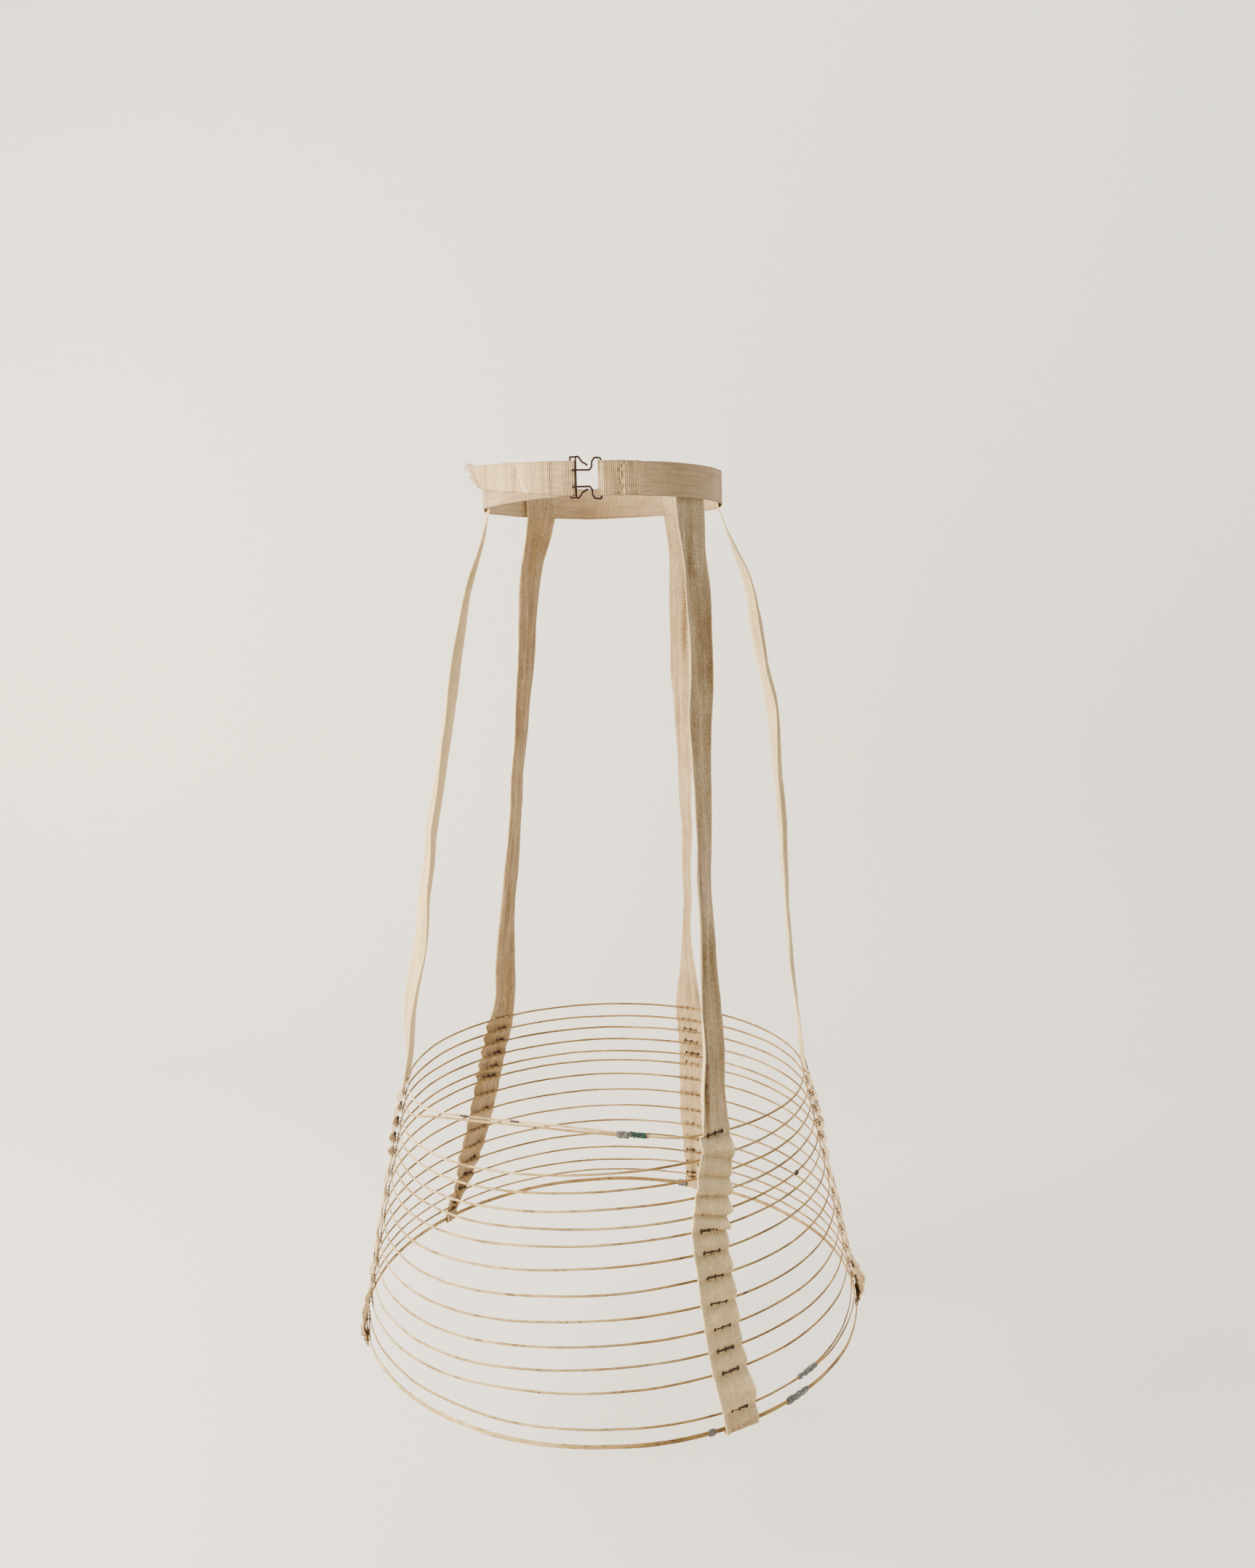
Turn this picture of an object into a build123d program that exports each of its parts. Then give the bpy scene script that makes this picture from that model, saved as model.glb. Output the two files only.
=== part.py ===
from build123d import *
from math import asin, atan2, cos, degrees, radians, sin, sqrt
import os

# A crinoline cage hanging from a waist: a waistband, five cotton tapes and fifteen rows of
# flat covered steel wire. Millimetres, +Z up, the wearer's front towards -Y. The origin is
# the middle of the waist loop. Plan angles run anticlockwise from +X.

# Waistband: an oval loop of cotton tape, of four tangent arcs in plan.
WAIST_HALF_WIDTH = 107.0        # outer face, side to side
WAIST_HALF_DEPTH = 87.0         # outer face, front to back
WAIST_SIDE_RADIUS = 65.0        # the tighter arcs at the hips
BAND_HEIGHT = 28.7
BAND_THICK = 1.2
BAND_TILT = -3.95               # degrees about X: the front rides higher than the back
RIGHT_END_X = -2.0              # folded end of the right half
HOOK_HEM = 25.0                 # length turned in behind the right end
FRAYED_END_ANGLE = 196.4        # where the turned-back left end stops

# Clasp: a wire slide on the left half, a wire hook in the hem of the right half.
CLASP_WIRE = 1.7
CLASP_EASE = 0.2
SLIDE_BAR_X = -20.1             # the bar that shows
SLIDE_WIDTH = 4.6               # from that bar to the one inside the fold
SLIDE_EASE = 0.3                # between the slide and the band's lower edge
CLASP_RISE = 1.2                # the slide sits above the middle of the band
CLASP_BEND = 1.3                # radius of the bends in both wires
# Upper arm of each wire: out from the slide's bar, and up or down from the slide's corner.
ARM_POINTS = [(0, 0), (2.2, 0.5), (5.2, -4.1), (10.0, -7.0)]
HOOK_POINTS = [(-3.4, -9.8), (11.6, -10.0), (13.4, -7.3), (13.4, -3.5), (15.4, -0.3), (17.2, 0)]
HOOK_SUNK_X = 21.0              # where the hook's upright lies in the hem

# The skirt of wires: a cone, with its axis a little to the left of the waist's middle.
LEAN = -1.35                    # degrees about Y: the whole cage hangs a little askew
AXIS_X = -10.75
CONE_RADIUS = 70.5              # of the wires' cone, carried up to the waist
CONE_SLOPE = 0.2179             # radius gained for each millimetre down
ROW_DROPS = [541, 556, 570, 585, 600, 612, 630, 650, 671, 691, 709, 727, 743, 758, 771]
WIRE_TALL = 2.1
WIRE_THICK = 1.1
RIBBON_TALL = 4.0               # the wider steel of the bottom hoop
RIBBON_THICK = 1.2
WIRE_GAP = 0.15                 # between two wires that run together

# Top hoop: round at the back, drawn flat across the front, between two places that lie
# inside the round.
FLAT_START_ANGLE = 219.46
FLAT_START_INSET = 20.0
FLAT_END_INSET = 22.8
FLAT_HEADING = -17.0
KINK_RADIUS = 60.0
KINK_TURN = 34.0

# Spiral wire: level turns, each stepping down one row across the left of the front.
SPIRAL_ROWS = range(1, 13)
STEP_START = -68.0
STEP_END = -165.0
SPIRAL_TAIL_START = 6.0         # the last turn comes down to the hoop below it
SPIRAL_TAIL_LEVEL = -37.0

# Tapes: (normal of the waist oval there, way down to the hoops, plan angles down the rows).
# The way is (drop, share of the way out); the angles are (drop, angle on the cone).
TAPE_WIDTH = 32.0
TAPE_THICK = 1.0
SEAT = 0.35                     # cloth to wire
TAPE_TOP = 8.0                  # how far the tape reaches up behind the band
BAND_PEEP = 16.0                # how far down it stays flat behind the band
TAPE_TURN_UP = 8.0              # of the hem inside the bottom hoop, above its middle
ROW_LEAD = 10.0                 # straight tape above the first row
HEM_LEAD = 10.0                 # straight tape above the middle of the bottom hoop
TAPES = {
    "tape_left": (186.0, [(73, 0.17), (216, 0.435), (380, 0.78)],
                  [(541, 183.0), (650, 187.0), (771, 196.0)]),
    "tape_back_left": (122.0, [(73, 0.20), (202, 0.42), (380, 0.72)],
                       [(541, 127.0), (650, 131.3), (723, 134.5), (771, 139.0)]),
    "tape_back_right": (53.0, [(73, 0.20), (202, 0.42), (380, 0.72)],
                        [(541, 62.9), (601, 63.6), (771, 67.8)]),
    "tape_right": (-2.0, [(73, 0.31), (202, 0.59), (380, 0.83)],
                   [(541, -2.0), (771, -3.0)]),
    "tape_front_right": (-48.0, [(73, 0.16), (202, 0.40), (380, 0.72)],
                         [(541, -59.2), (570, -62.4), (612, -65.4), (709, -64.6), (771, -62.6)]),
}
FRONT_TAPE = "tape_front_right"
HOOP_14_ROW = 13
BOTTOM_ROW = 14

# Staples: a bar outside the tape and three claws closed round the wire inside it.
STAPLE_LENGTH = 16.4
STAPLE_BAR = 1.6
STAPLE_GAUGE = 0.6
CLAW_WIDTH = 1.0
CLAW_SPACING = 7.0
CLAW_EASE = 0.15
CLAW_BITE = 0.01                # the claws run this far into the bar
SLOT_DEPTH = 6.0

# Sleeves and clips on the hoops.
FERRULE_LENGTH = 11.0
FERRULE_TO_END = 33.0           # from its start to the end of the flat front
SLEEVE_WALL = 0.7
SLEEVE_EASE = 0.15
PAST_ENDS = 1.0                 # degrees by which a sleeve's hole is cut past its ends
BINDING_GAP = 0.6
BINDING_LENGTH = 16.0
BINDING_OUTSIDE = 5.4
CLIP_14_ANGLES = (-46.4, -40.0)
CLIP_15_ANGLES = (-50.8, -44.2)
# (row, tape beside it, which side of the tape, gap from the tape's edge, length).
HOOP_SLEEVES = {
    "row_5_clip": (4, "tape_right", -1, 89.5, 5.0),
    "front_sleeve": (BOTTOM_ROW, "tape_front_right", -1, 8.4, 6.0),
    "back_sleeve": (BOTTOM_ROW, "tape_back_right", 1, 3.5, 8.0),
    "right_sleeve": (BOTTOM_ROW, "tape_right", -1, 2.0, 6.0),
}


def cone_radius(drop):
    return CONE_RADIUS + CONE_SLOPE * drop


def on_circle(radius, angle, z=0.0):
    return Vector(radius * cos(radians(angle)), radius * sin(radians(angle)), z)


def hung(shape):
    """The finished place of a piece made about the upright axis of the waist."""
    return Rot(0, LEAN, 0) * shape


def on_axis(shape):
    return hung(Pos(AXIS_X, 0, 0) * shape)


def in_band(shape):
    return hung(Rot(BAND_TILT, 0, 0) * shape)


def write(name, shape):
    """One file for a node: a single solid, or a group of them."""
    solids = ShapeList(shape if isinstance(shape, list) else [shape]).solids()
    body = solids[0] if len(solids) == 1 else Compound(children=list(solids))
    body.label = name
    export_step(body, f"parts/{name}.step")


# ---- flat faces ------------------------------------------------------------------------

def sector(centre, inner, outer, start, end):
    """Part of a flat ring, from one plan angle round to another."""
    size = end - start
    arc_out = CenterArc(centre, outer, start, size)
    arc_in = CenterArc(centre, inner, start, size)
    return make_face([arc_out, arc_in, Line(arc_out @ 0, arc_in @ 0), Line(arc_out @ 1, arc_in @ 1)])


def run(start, end, thick):
    """A straight stretch of a given thickness, seen in plan."""
    start, end = Vector(start), Vector(end)
    along = (end - start).normalized()
    side = Vector(-along.Y, along.X) * (thick / 2)
    return make_face(Polyline(start + side, end + side, end - side, start - side, close=True))


def wire_sector(radius, start, end, thick=WIRE_THICK, centre=(0, 0)):
    return sector(centre, radius - thick / 2, radius + thick / 2, start, end)


def slab(faces, tall, z):
    """Flat faces that meet edge to edge, as one upright solid with its middle at z."""
    solids = [extrude(face, amount=tall) for face in faces]
    joined = solids[0] if len(solids) == 1 else solids[0].fuse(*solids[1:])
    return Pos(0, 0, z - tall / 2) * joined


# ---- waist oval ------------------------------------------------------------------------

SIDE_CENTRE = WAIST_HALF_WIDTH - WAIST_SIDE_RADIUS
FRONT_RADIUS = (SIDE_CENTRE**2 + WAIST_HALF_DEPTH**2 - WAIST_SIDE_RADIUS**2) / (
    2 * (WAIST_HALF_DEPTH - WAIST_SIDE_RADIUS)
)
FRONT_CENTRE = FRONT_RADIUS - WAIST_HALF_DEPTH
JOIN_ANGLE = degrees(atan2(FRONT_CENTRE, SIDE_CENTRE))
OVAL_ARCS = [
    ((0, FRONT_CENTRE), FRONT_RADIUS, JOIN_ANGLE - 180, -JOIN_ANGLE),
    ((SIDE_CENTRE, 0), WAIST_SIDE_RADIUS, -JOIN_ANGLE, JOIN_ANGLE),
    ((0, -FRONT_CENTRE), FRONT_RADIUS, JOIN_ANGLE, 180 - JOIN_ANGLE),
    ((-SIDE_CENTRE, 0), WAIST_SIDE_RADIUS, 180 - JOIN_ANGLE, 180 + JOIN_ANGLE),
    ((0, FRONT_CENTRE), FRONT_RADIUS, 180 + JOIN_ANGLE, 360 - JOIN_ANGLE),
]


def oval_arc(normal):
    return next(arc for arc in OVAL_ARCS if arc[2] <= normal <= arc[3])


def oval_point(normal, offset=0.0):
    """The point of the waist oval that faces a plan angle, moved out by an offset."""
    centre, radius, _, _ = oval_arc(normal)
    return Vector(*centre) + on_circle(radius + offset, normal)


def front_normal(x):
    return degrees(asin(x / FRONT_RADIUS)) - 90


def layer(inside, outside, start, end):
    """Faces of a cloth layer that follows the oval between two offsets and two normals."""
    faces = []
    for centre, radius, low, high in OVAL_ARCS:
        first, last = max(start, low), min(end, high)
        if last > first:
            faces.append(sector(centre, radius + inside, radius + outside, first, last))
    return faces


def fold(middle, gap, normal, ahead):
    """Half ring where the cloth turns back over a wire lying in the gap."""
    start = normal if ahead else normal + 180
    centre = oval_point(normal, middle)
    return sector((centre.X, centre.Y), gap / 2, gap / 2 + BAND_THICK, start, start + 180)


# ---- waistband -------------------------------------------------------------------------

CLASP_GAP = CLASP_WIRE + 2 * CLASP_EASE
FOLD_REACH = CLASP_GAP / 2 + BAND_THICK
HEM_MIDDLE = -BAND_THICK - CLASP_GAP / 2
LOOP_MIDDLE = CLASP_GAP / 2
HIDDEN_BAR_X = SLIDE_BAR_X - SLIDE_WIDTH
SLIDE_HEIGHT = BAND_HEIGHT + CLASP_WIRE + 2 * (CLASP_RISE + SLIDE_EASE)
HEM_NORMAL = front_normal(RIGHT_END_X + FOLD_REACH)
LOOP_NORMAL = front_normal(HIDDEN_BAR_X)


def waistband():
    hem_end = HEM_NORMAL + degrees(HOOK_HEM / FRONT_RADIUS)
    hem_inside = -2 * BAND_THICK - CLASP_GAP
    faces = layer(-BAND_THICK, 0, HEM_NORMAL, LOOP_NORMAL + 360)
    faces += layer(hem_inside, hem_inside + BAND_THICK, HEM_NORMAL, hem_end)
    faces += layer(CLASP_GAP, CLASP_GAP + BAND_THICK, FRAYED_END_ANGLE, LOOP_NORMAL + 360)
    faces.append(fold(HEM_MIDDLE, CLASP_GAP, HEM_NORMAL, False))
    faces.append(fold(LOOP_MIDDLE, CLASP_GAP, LOOP_NORMAL + 360, True))
    return in_band(slab(faces, BAND_HEIGHT, 0))


# ---- clasp -----------------------------------------------------------------------------

def rod(points, bend=CLASP_BEND):
    """Round wire along straight runs with rounded bends."""
    path = FilletPolyline(*points, radius=bend) if len(points) > 2 else Line(*points)
    start = Plane(origin=path @ 0, z_dir=path % 0)
    return sweep(start * Circle(CLASP_WIRE / 2), path=path)


def clasp_point(x, z, depth=0.0):
    """A point of the clasp, from the bar that shows; depth is out from the fold's middle."""
    plan = oval_point(front_normal(SLIDE_BAR_X), LOOP_MIDDLE)
    return (plan.X + x, plan.Y - depth, z)


def waist_slide():
    """A ring of wire round the turned-back left end, with two arms towards the right."""
    half = SLIDE_HEIGHT / 2
    back = oval_point(LOOP_NORMAL, LOOP_MIDDLE)
    hidden = [(back.X, back.Y, z + CLASP_RISE) for z in (half, -half)]
    shown = [clasp_point(0, z + CLASP_RISE) for z in (half, -half)]
    wire = rod([shown[0], shown[1]])
    wire += rod([hidden[0], hidden[1]])
    for a, b in zip(hidden, shown):
        wire += rod([a, b])
        wire += Pos(*a) * Sphere(CLASP_WIRE / 2)
        wire += Pos(*b) * Sphere(CLASP_WIRE / 2)
    for side in (1, -1):
        wire += rod([clasp_point(x, side * (half + z) + CLASP_RISE) for x, z in ARM_POINTS])
    return in_band(wire)


def waist_hook():
    """A wire whose upright lies in the right hem, its two ends hooked over the slide's bar."""
    proud = CLASP_WIRE + CLASP_EASE
    half = SLIDE_HEIGHT / 2
    hem = oval_point(front_normal(SLIDE_BAR_X + HOOK_SUNK_X), HEM_MIDDLE)
    sunk = clasp_point(0, 0)[1] - hem.Y
    upper = [clasp_point(x, half + z, proud) for x, z in HOOK_POINTS]
    upper.append(clasp_point(HOOK_SUNK_X, half + HOOK_POINTS[-1][1], sunk))
    lower = [(x, y, -z) for x, y, z in reversed(upper)]
    return in_band(rod(upper + lower))


# ---- hoops -----------------------------------------------------------------------------

def tangent_radius(place, normal, radius):
    """Radius of the arc that leaves a place square to a normal and meets a circle inside."""
    across = place.dot(normal)
    return (radius**2 - place.dot(place)) / (2 * (radius + across))


def chord_to_circle(place, along, radius):
    """How far a straight run goes from a place inside a circle until it meets it."""
    across = place.dot(along)
    return sqrt(across**2 - place.dot(place) + radius**2) - across


TOP_RADIUS = cone_radius(ROW_DROPS[0])
FLAT_ALONG = on_circle(1, FLAT_HEADING)
FLAT_INWARD = on_circle(1, FLAT_HEADING + 90)
FLAT_START = on_circle(TOP_RADIUS - FLAT_START_INSET, FLAT_START_ANGLE)
FLAT_LENGTH = chord_to_circle(FLAT_START, FLAT_ALONG, TOP_RADIUS - FLAT_END_INSET)
FLAT_END = FLAT_START + FLAT_ALONG * FLAT_LENGTH
FERRULE_START = FLAT_LENGTH - FERRULE_TO_END
KINK_CENTRE = FLAT_END + FLAT_INWARD * KINK_RADIUS
KINK_INWARD = on_circle(1, FLAT_HEADING + KINK_TURN + 90)
KINK_END = KINK_CENTRE - KINK_INWARD * KINK_RADIUS
LEFT_BEND = tangent_radius(FLAT_START, FLAT_INWARD, TOP_RADIUS)
LEFT_CENTRE = FLAT_START + FLAT_INWARD * LEFT_BEND
RIGHT_BEND = tangent_radius(KINK_END, KINK_INWARD, TOP_RADIUS)
RIGHT_CENTRE = KINK_END + KINK_INWARD * RIGHT_BEND
LEFT_JOIN = degrees(atan2(LEFT_CENTRE.Y, LEFT_CENTRE.X)) + 360
RIGHT_JOIN = degrees(atan2(RIGHT_CENTRE.Y, RIGHT_CENTRE.X))


def top_hoop():
    faces = [
        wire_sector(TOP_RADIUS, RIGHT_JOIN, LEFT_JOIN),
        wire_sector(LEFT_BEND, LEFT_JOIN, FLAT_HEADING + 270, centre=tuple(LEFT_CENTRE)[:2]),
        run(FLAT_START, FLAT_END, WIRE_THICK),
        wire_sector(KINK_RADIUS, FLAT_HEADING - 90, FLAT_HEADING + KINK_TURN - 90,
                    centre=tuple(KINK_CENTRE)[:2]),
        wire_sector(RIGHT_BEND, FLAT_HEADING + KINK_TURN - 90, RIGHT_JOIN,
                    centre=tuple(RIGHT_CENTRE)[:2]),
    ]
    return on_axis(slab(faces, WIRE_TALL, -ROW_DROPS[0]))


def bottom_radius():
    """The wide ribbon stands in a little, so that its top edge is clear of the tapes."""
    wider = (RIBBON_THICK - WIRE_THICK) / 2 + CONE_SLOPE * (RIBBON_TALL - WIRE_TALL) / 2
    return cone_radius(ROW_DROPS[BOTTOM_ROW]) - wider


def closed_hoop(row, radius, tall, thick):
    ring = Circle(radius + thick / 2) - Circle(radius - thick / 2)
    return on_axis(Pos(0, 0, -ROW_DROPS[row] - tall / 2) * extrude(ring, amount=tall))


def bent_from(joint, tangent, end, roll_x):
    """Wire turned from a joint to an end along the one arc that leaves with that tangent."""
    reach = end - joint
    inward = (reach - tangent * reach.dot(tangent)).normalized()
    radius = reach.dot(reach) / (2 * reach.dot(inward))
    angle = 2 * degrees(atan2(reach.dot(inward), reach.dot(tangent)))
    section = Plane(origin=joint, x_dir=roll_x, z_dir=tangent) * Rectangle(WIRE_THICK, WIRE_TALL)
    axis = Axis(joint + inward * radius, tangent.cross(inward))
    return revolve(section, axis=axis, revolution_arc=angle)


def step_down(start, start_heading, end, end_heading):
    """Two tangent arcs of wire from one level run to the next."""
    leave, arrive = on_circle(1, start_heading), on_circle(1, end_heading)
    across, both = end - start, leave + arrive
    square = 2 * (leave.dot(arrive) - 1)
    slope = -2 * across.dot(both)
    reach = (-slope - sqrt(slope**2 - 4 * square * across.dot(across))) / (2 * square)
    first, last = start + leave * reach, end - arrive * reach
    joint = (first + last) * 0.5
    tangent = (last - first).normalized()
    outward = Vector(tangent.Y, -tangent.X, 0).normalized()
    return [bent_from(joint, -tangent, start, outward), bent_from(joint, tangent, end, outward)]


def level_turn(radius, start, end, drop):
    return Pos(0, 0, -drop) * extrude(
        wire_sector(radius, end, start), amount=WIRE_TALL / 2, both=True
    )


def spiral_turns():
    """The one spiral wire as its twelve turns, which meet end to end: each is a step down
    across the front and a level run round the back."""
    under = ROW_DROPS[0] + WIRE_TALL + WIRE_GAP
    lead = FLAT_START + FLAT_ALONG * (FERRULE_START + FERRULE_LENGTH / 2)
    start = FLAT_START - Vector(0, 0, under)
    heading = FLAT_HEADING + 180
    pieces = [Pos(0, 0, -under) * extrude(run(lead, FLAT_START, WIRE_THICK),
                                          amount=WIRE_TALL / 2, both=True)]
    for row in SPIRAL_ROWS:
        drop = ROW_DROPS[row]
        radius = cone_radius(drop)
        last = row == SPIRAL_ROWS[-1]
        turn_end = SPIRAL_TAIL_START if last else STEP_START
        pieces += step_down(start, heading, on_circle(radius, STEP_END, -drop), STEP_END - 90)
        pieces.append(level_turn(radius, STEP_END + 360, turn_end, drop))
        start, heading = on_circle(radius, turn_end, -drop), turn_end - 90
        if last:
            pieces += spiral_tail(start, heading)
        yield row, on_axis(pieces[0].fuse(*pieces[1:]))
        pieces = []


def spiral_tail(start, heading):
    """The last turn comes down inside hoop 14 and runs along it to the clip."""
    drop = ROW_DROPS[HOOP_14_ROW]
    radius = cone_radius(drop) - WIRE_THICK - WIRE_GAP
    tail = on_circle(radius, SPIRAL_TAIL_LEVEL, -drop)
    down = step_down(start, heading, tail, SPIRAL_TAIL_LEVEL - 90)
    return down + [level_turn(radius, SPIRAL_TAIL_LEVEL, CLIP_14_ANGLES[0], drop)]


# ---- sleeves and clips -----------------------------------------------------------------

def sleeve_on_hoop(drop, inner, outer, tall, start, end):
    """A crimped sleeve round whatever lies between two radii, over a stretch of a hoop."""
    hole = sector((0, 0), inner - SLEEVE_EASE, outer + SLEEVE_EASE,
                  start - PAST_ENDS, end + PAST_ENDS)
    wall = SLEEVE_EASE + SLEEVE_WALL
    body = sector((0, 0), inner - wall, outer + wall, start, end)
    solid = extrude(body, amount=tall / 2 + wall, both=True)
    solid -= extrude(hole, amount=tall / 2 + SLEEVE_EASE, both=True)
    return on_axis(Pos(0, 0, -drop) * solid)


def hoop_sleeve(row, beside, side, gap, length):
    bottom = row == BOTTOM_ROW
    thick, tall = (RIBBON_THICK, RIBBON_TALL) if bottom else (WIRE_THICK, WIRE_TALL)
    radius = bottom_radius() if bottom else cone_radius(ROW_DROPS[row])
    half = degrees(length / radius) / 2
    away = degrees((TAPE_WIDTH / 2 + gap + length / 2) / radius)
    angle = tape_angle(beside, min(ROW_DROPS[row], hem_drop())) + side * away
    return sleeve_on_hoop(ROW_DROPS[row], radius - thick / 2, radius + thick / 2, tall,
                          angle - half, angle + half)


def hoop_14_clip():
    drop = ROW_DROPS[HOOP_14_ROW]
    radius = cone_radius(drop)
    inner = radius - 1.5 * WIRE_THICK - WIRE_GAP
    return sleeve_on_hoop(drop, inner, radius + WIRE_THICK / 2, WIRE_TALL, *CLIP_14_ANGLES)


def bottom_hoop_clip():
    drop = ROW_DROPS[BOTTOM_ROW]
    radius, half = bottom_radius(), RIBBON_THICK / 2
    return sleeve_on_hoop(drop, radius - half, radius + half, RIBBON_TALL, *CLIP_15_ANGLES)


def on_flat(start, length, section, z):
    """A section drawn across the flat front of the top hoop, drawn out along it."""
    place = FLAT_START + FLAT_ALONG * start + Vector(0, 0, z)
    plane = Plane(origin=place, x_dir=FLAT_INWARD, z_dir=FLAT_ALONG)
    return on_axis(extrude(plane * section, amount=length))


def front_ferrule():
    """Holds the top hoop with the first end of the spiral wire under it."""
    pair = 2 * WIRE_TALL + WIRE_GAP
    hole = Rectangle(WIRE_THICK + 2 * SLEEVE_EASE, pair + 2 * SLEEVE_EASE)
    wall = 2 * (SLEEVE_EASE + SLEEVE_WALL)
    body = RectangleRounded(WIRE_THICK + wall, pair + wall, SLEEVE_WALL)
    middle = -ROW_DROPS[0] - (WIRE_TALL + WIRE_GAP) / 2
    return on_flat(FERRULE_START, FERRULE_LENGTH, body - hole, middle)


def front_binding():
    """The outer shape of the fine wire wound round the cut ends of the top hoop."""
    hole = Rectangle(WIRE_THICK + 2 * SLEEVE_EASE, WIRE_TALL + 2 * SLEEVE_EASE)
    start = FERRULE_START + FERRULE_LENGTH + BINDING_GAP
    section = Circle(BINDING_OUTSIDE / 2) - hole
    return on_flat(start, BINDING_LENGTH, section, -ROW_DROPS[0])


# ---- tapes -----------------------------------------------------------------------------

def wire_sag(radius, width):
    """How far a hoop falls away from a flat tape at the tape's edges."""
    return width**2 / (8 * radius)


def front_tape_reach(offset):
    """Distance of the top hoop out along the front tape's normal, at an offset across it."""
    angle = radians(tape_angle(FRONT_TAPE, ROW_DROPS[0]))
    out = RIGHT_CENTRE.X * cos(angle) + RIGHT_CENTRE.Y * sin(angle)
    across = RIGHT_CENTRE.Y * cos(angle) - RIGHT_CENTRE.X * sin(angle)
    return out + sqrt(RIGHT_BEND**2 - (offset - across) ** 2)


def inner_face(drop):
    return cone_radius(drop) + WIRE_THICK / 2 + SEAT


def top_row_face(name):
    """Where the tape's inner face stands at the top hoop, and just above it."""
    if name != FRONT_TAPE:
        return inner_face(ROW_DROPS[0])
    half = TAPE_WIDTH / 2
    return max(front_tape_reach(-half), front_tape_reach(half)) + WIRE_THICK / 2 + SEAT


def tape_angle(name, drop):
    """Plan angle that a tape has reached at a drop: it drifts round the cone on its way down."""
    knots = TAPES[name][2]
    if drop <= knots[0][0]:
        return knots[0][1]
    for (high, first), (low, last) in zip(knots, knots[1:]):
        if drop <= low:
            return first + (last - first) * (drop - high) / (low - high)
    return knots[-1][1]


def hem_drop():
    return ROW_DROPS[BOTTOM_ROW] - HEM_LEAD


def skirt_points(name):
    """(drop, radius) of the tape's inner face, from just above the rows down to the hem."""
    top, reach = ROW_DROPS[0], top_row_face(name)
    points = [(top - ROW_LEAD, reach - CONE_SLOPE * ROW_LEAD)]
    if name == FRONT_TAPE:
        under = ROW_DROPS[1] - WIRE_TALL * 2
        points += [(top - WIRE_TALL, reach), (top + WIRE_TALL, reach), (under, inner_face(under))]
    points += [(drop, inner_face(drop)) for drop in ROW_DROPS[1:HOOP_14_ROW + 1]]
    return points + [(hem_drop(), inner_face(hem_drop()))]


def hem_face():
    """Section of the hem, folded up inside the bottom hoop."""
    bottom = ROW_DROPS[BOTTOM_ROW]
    turn = bottom + RIBBON_TALL / 2 + SEAT
    right = inner_face(turn)
    start = (inner_face(hem_drop()), -hem_drop())
    gap = RIBBON_THICK / 2 + SEAT + wire_sag(bottom_radius(), TAPE_WIDTH)
    gap += right - bottom_radius()
    middle = (right - gap / 2, -turn)
    hem_top = -(bottom - TAPE_TURN_UP)
    return make_face([
        Line(start, (right, -turn)),
        CenterArc(middle, gap / 2, 0, -180),
        Polyline((right - gap, -turn), (right - gap, hem_top),
                 (right - gap - TAPE_THICK, hem_top), (right - gap - TAPE_THICK, -turn)),
        CenterArc(middle, gap / 2 + TAPE_THICK, 180, 180),
        Polyline((right + TAPE_THICK, -turn), (start[0] + TAPE_THICK, start[1]), start),
    ])


def tape_plane(angle):
    """Upright plane through the cone's axis: X outward, Y up."""
    return Plane(origin=(0, 0, 0), x_dir=on_circle(1, angle), z_dir=on_circle(1, angle - 90))


def claw_offsets():
    return (-CLAW_SPACING, 0, CLAW_SPACING)


def slot_height():
    return WIRE_TALL / 2 + CLAW_EASE + STAPLE_GAUGE / 2


def stapled_rows(name):
    """Every row above the bottom hoop; the spiral's last turn ends short of the front tape."""
    rows = list(range(BOTTOM_ROW))
    if name == FRONT_TAPE:
        rows.remove(SPIRAL_ROWS[-1])
    return rows


def row_radius(name, row):
    if name == FRONT_TAPE and row == 0:
        return top_row_face(name) - WIRE_THICK / 2 - SEAT
    return cone_radius(ROW_DROPS[row])


def waist_radius(normal):
    """The tightest arc of the waist oval behind a tape that faces a plan angle there."""
    spread = degrees(TAPE_WIDTH / 2 / oval_arc(normal)[1])
    return min(oval_arc(normal + side * spread)[1] for side in (-1, 1))


def tape_section(place, facing):
    return Pos(*place) * Rot(0, 0, facing) * Rectangle(TAPE_THICK, TAPE_WIDTH)


def upper_sections(name):
    """Level sections of the tape, from behind the band down to just above the rows. Those
    behind the band are in the band's tilted frame."""
    normal, way, _ = TAPES[name]
    arc_normal = normal if normal > -JOIN_ANGLE else normal + 360
    inset = BAND_THICK + SEAT + wire_sag(waist_radius(arc_normal), TAPE_WIDTH) + TAPE_THICK / 2
    waist = oval_point(arc_normal, -inset)
    from_axis = Vector(-AXIS_X, 0, 0)
    sections = []
    for height in (TAPE_TOP, -BAND_PEEP):
        face = tape_section((waist.X, waist.Y, height), normal)
        sections.append(Pos(*from_axis) * Rot(BAND_TILT, 0, 0) * face)
    drop, reach = skirt_points(name)[0]
    angle = tape_angle(name, drop)
    hoop = on_circle(reach + TAPE_THICK / 2, angle)
    start = waist + from_axis
    for level, share in way:
        place = start + (hoop - start) * share
        sections.append(tape_section((place.X, place.Y, -level), normal + (angle - normal) * share))
    return sections


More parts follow.
